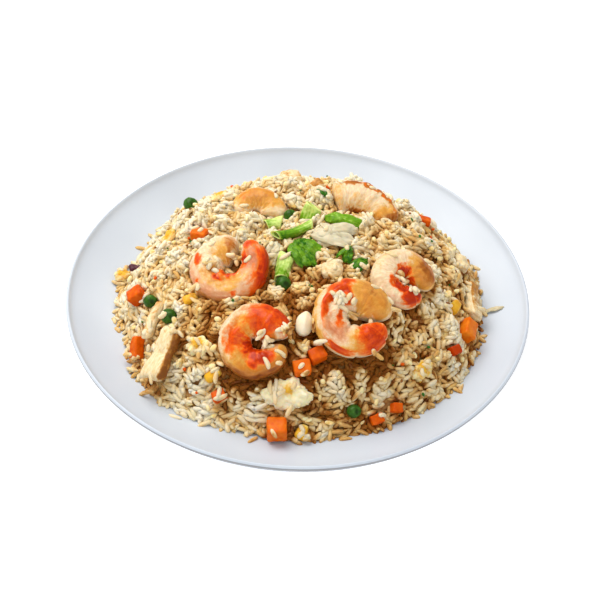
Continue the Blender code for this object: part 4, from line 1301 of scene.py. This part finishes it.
def scraps(bed):
    """A loose shred of onion on the plate and a bit of red onion skin at the heap's edge."""
    # The shred lies along the slope of the coupe.
    away, half_length = 108.0, 6.0
    shape, skin, stripe = strip((13, 3.0, 1.0), 1.2, 20, 3, 0.5)
    shape = shape @ np.array(Matrix.Rotation(math.radians(4), 3, "Z")).T
    rise = coupe_height(away + half_length) - coupe_height(away - half_length)
    slope = math.atan(rise / (2 * half_length))
    shape = shape @ np.array(Matrix.Rotation(-slope, 3, "Y")).T + [away, 0, coupe_height(away) + 0.6]
    white = bpy.data.materials["spring_onion_bulb"]
    make_piece(
        "onion_shred_on_plate", shape, skin, white, "onion_white", ["fried_rice"],
        local=shape * MM, tone=-0.15 + 0.05 * stripe,
    )
    shape, skin = ball(4)
    shape = roughen(roughen(shape * np.array((8, 5, 3.5)) / 2, 3.5, 1.2, 8), 1.4, 0.35, 8)
    x, y = -91, 12
    shape = shape + [x, y, bed.height[cell_of(y), cell_of(x)] - 0.5]
    make_piece(
        "red_onion_skin", shape, skin, red_onion_skin(), "onion_white", ["fried_rice"],
        local=shape * MM, tone=np.zeros(len(shape)),
    )


def red_onion_skin():
    """Skin of a red onion, fried: dull purple-brown, with a little gloss."""
    return moist_food(
        "red_onion_skin", "3A1A24", "5E2E3A", "94646A",
        across=2.0, roughness=0.4, coat=0.15, glow=0.1, depth=0.1,
    )


def dress_rice():
    """The grains and the core under them, and the crumbs and scraps among them."""
    bed = Bed()
    for _, points, faces in TOPPINGS:
        bed.mark(points, faces)
    bed.open_up()
    forms = [[grain_form(kind) for _ in range(VARIANTS)] for kind in KINDS]
    grains = lay_rice(bed, forms)
    drop_loose(bed, forms, grains)
    for kind, its_forms, its_grains in zip(KINDS, forms, grains):
        join_grains(kind, its_forms, its_grains, bed)
    rice_core(bed)
    curd = bpy.data.materials["scrambled_egg"]
    crumbs("egg_crumbs", 150, (3.6, 2.8, 2.2), curd, "egg", bed, 0.05)
    # Crumbs of chicken crust, browned in the pan.
    browned = moist_food(
        "browned_bits", "6B3C18", "99622E", "BF8A4C",
        across=1.5, roughness=0.5, coat=0.1, glow=0.1, depth=0.1,
    )
    crumbs("browned_crumbs", 60, (2.2, 1.4, 1.1), browned, "chicken", bed)
    # Leaf chopped fine and fried dark.
    herb = moist_food(
        "chopped_green", "1F4A1A", "3C7426", "79A04A",
        across=1.5, roughness=0.45, coat=0.1, glow=0.15, depth=0.1,
    )
    crumbs("green_crumbs", 30, (2.2, 1.3, 0.9), herb, "spring_onion", bed)
    root = bpy.data.materials["diced_carrot"]
    crumbs("carrot_crumbs", 14, (2.6, 2.2, 1.8), root, "carrot", bed)
    scraps(bed)


# --- light, floor and camera -----------------------------------------------------------------


def light(name, place, size, power, colour):
    """A round soft lamp that looks at the heap."""
    lamp = bpy.data.lights.new(name, "AREA")
    lamp.shape, lamp.size, lamp.energy = "DISK", size, power
    lamp.color = linear(colour)[:3]
    holder = bpy.data.objects.new(name, lamp)
    bpy.context.scene.collection.objects.link(holder)
    holder.location = place
    holder.rotation_mode = "QUATERNION"
    holder.rotation_quaternion = (Vector(place) - Vector((0, 0, 0.03))).to_track_quat("Z", "Y")


def studio():
    """A lit white board, a soft window to the back left, a fill in front and pale light all round."""
    bm = bmesh.new()
    bmesh.ops.create_grid(bm, x_segments=1, y_segments=1, size=9.0)
    mesh = bpy.data.meshes.new("white_board")
    bm.to_mesh(mesh)
    bm.free()
    mesh.materials.append(light_table())
    board = bpy.data.objects.new("white_board", mesh)
    board.location.z = -0.0002
    bpy.context.scene.collection.objects.link(board)
    world = bpy.data.worlds.new("pale_room")
    world.use_nodes = True
    sky = world.node_tree.nodes["Background"]
    sky.inputs["Color"].default_value = linear("FFFEFC")
    sky.inputs["Strength"].default_value = 0.46
    bpy.context.scene.world = world
    light("window", (-0.38, 0.3, 0.88), 1.0, 10.8, "FFFAF2")
    light("fill", (0.2, -0.8, 0.75), 0.9, 2.2, "FFFDF8")
    bpy.context.scene.view_settings.view_transform = "Standard"


def camera():
    """Looks down at 44 degrees from in front, rolled a little, from 0.8 m, at a spot a little below
    the middle of the heap."""
    lift, roll, away = math.radians(43.965), math.radians(2.290), 0.8
    middle, aside, below = Vector((0, 0, 0.022)), 0.9458 * MM, 5.0967 * MM
    back = Vector((0, -math.cos(lift), math.sin(lift)))
    level = Vector((1, 0, 0))
    upright = back.cross(level)
    right = math.cos(roll) * level + math.sin(roll) * upright
    up = math.cos(roll) * upright - math.sin(roll) * level
    aim = middle + aside * right - below * up
    lens = bpy.data.cameras.new("camera")
    lens.sensor_width, lens.lens = 36, 87.133
    holder = bpy.data.objects.new("camera", lens)
    pose = Matrix((right, up, back)).transposed().to_4x4()
    pose.translation = aim + away * back
    holder.matrix_world = pose
    bpy.context.scene.collection.objects.link(holder)
    bpy.context.scene.camera = holder


plate()
lay_prawns()
lay_chicken()
lay_carrots()
lay_peas()
lay_egg()
lay_sweetcorn()
lay_spring_onion()
garlic_clove()
dress_rice()
studio()
camera()
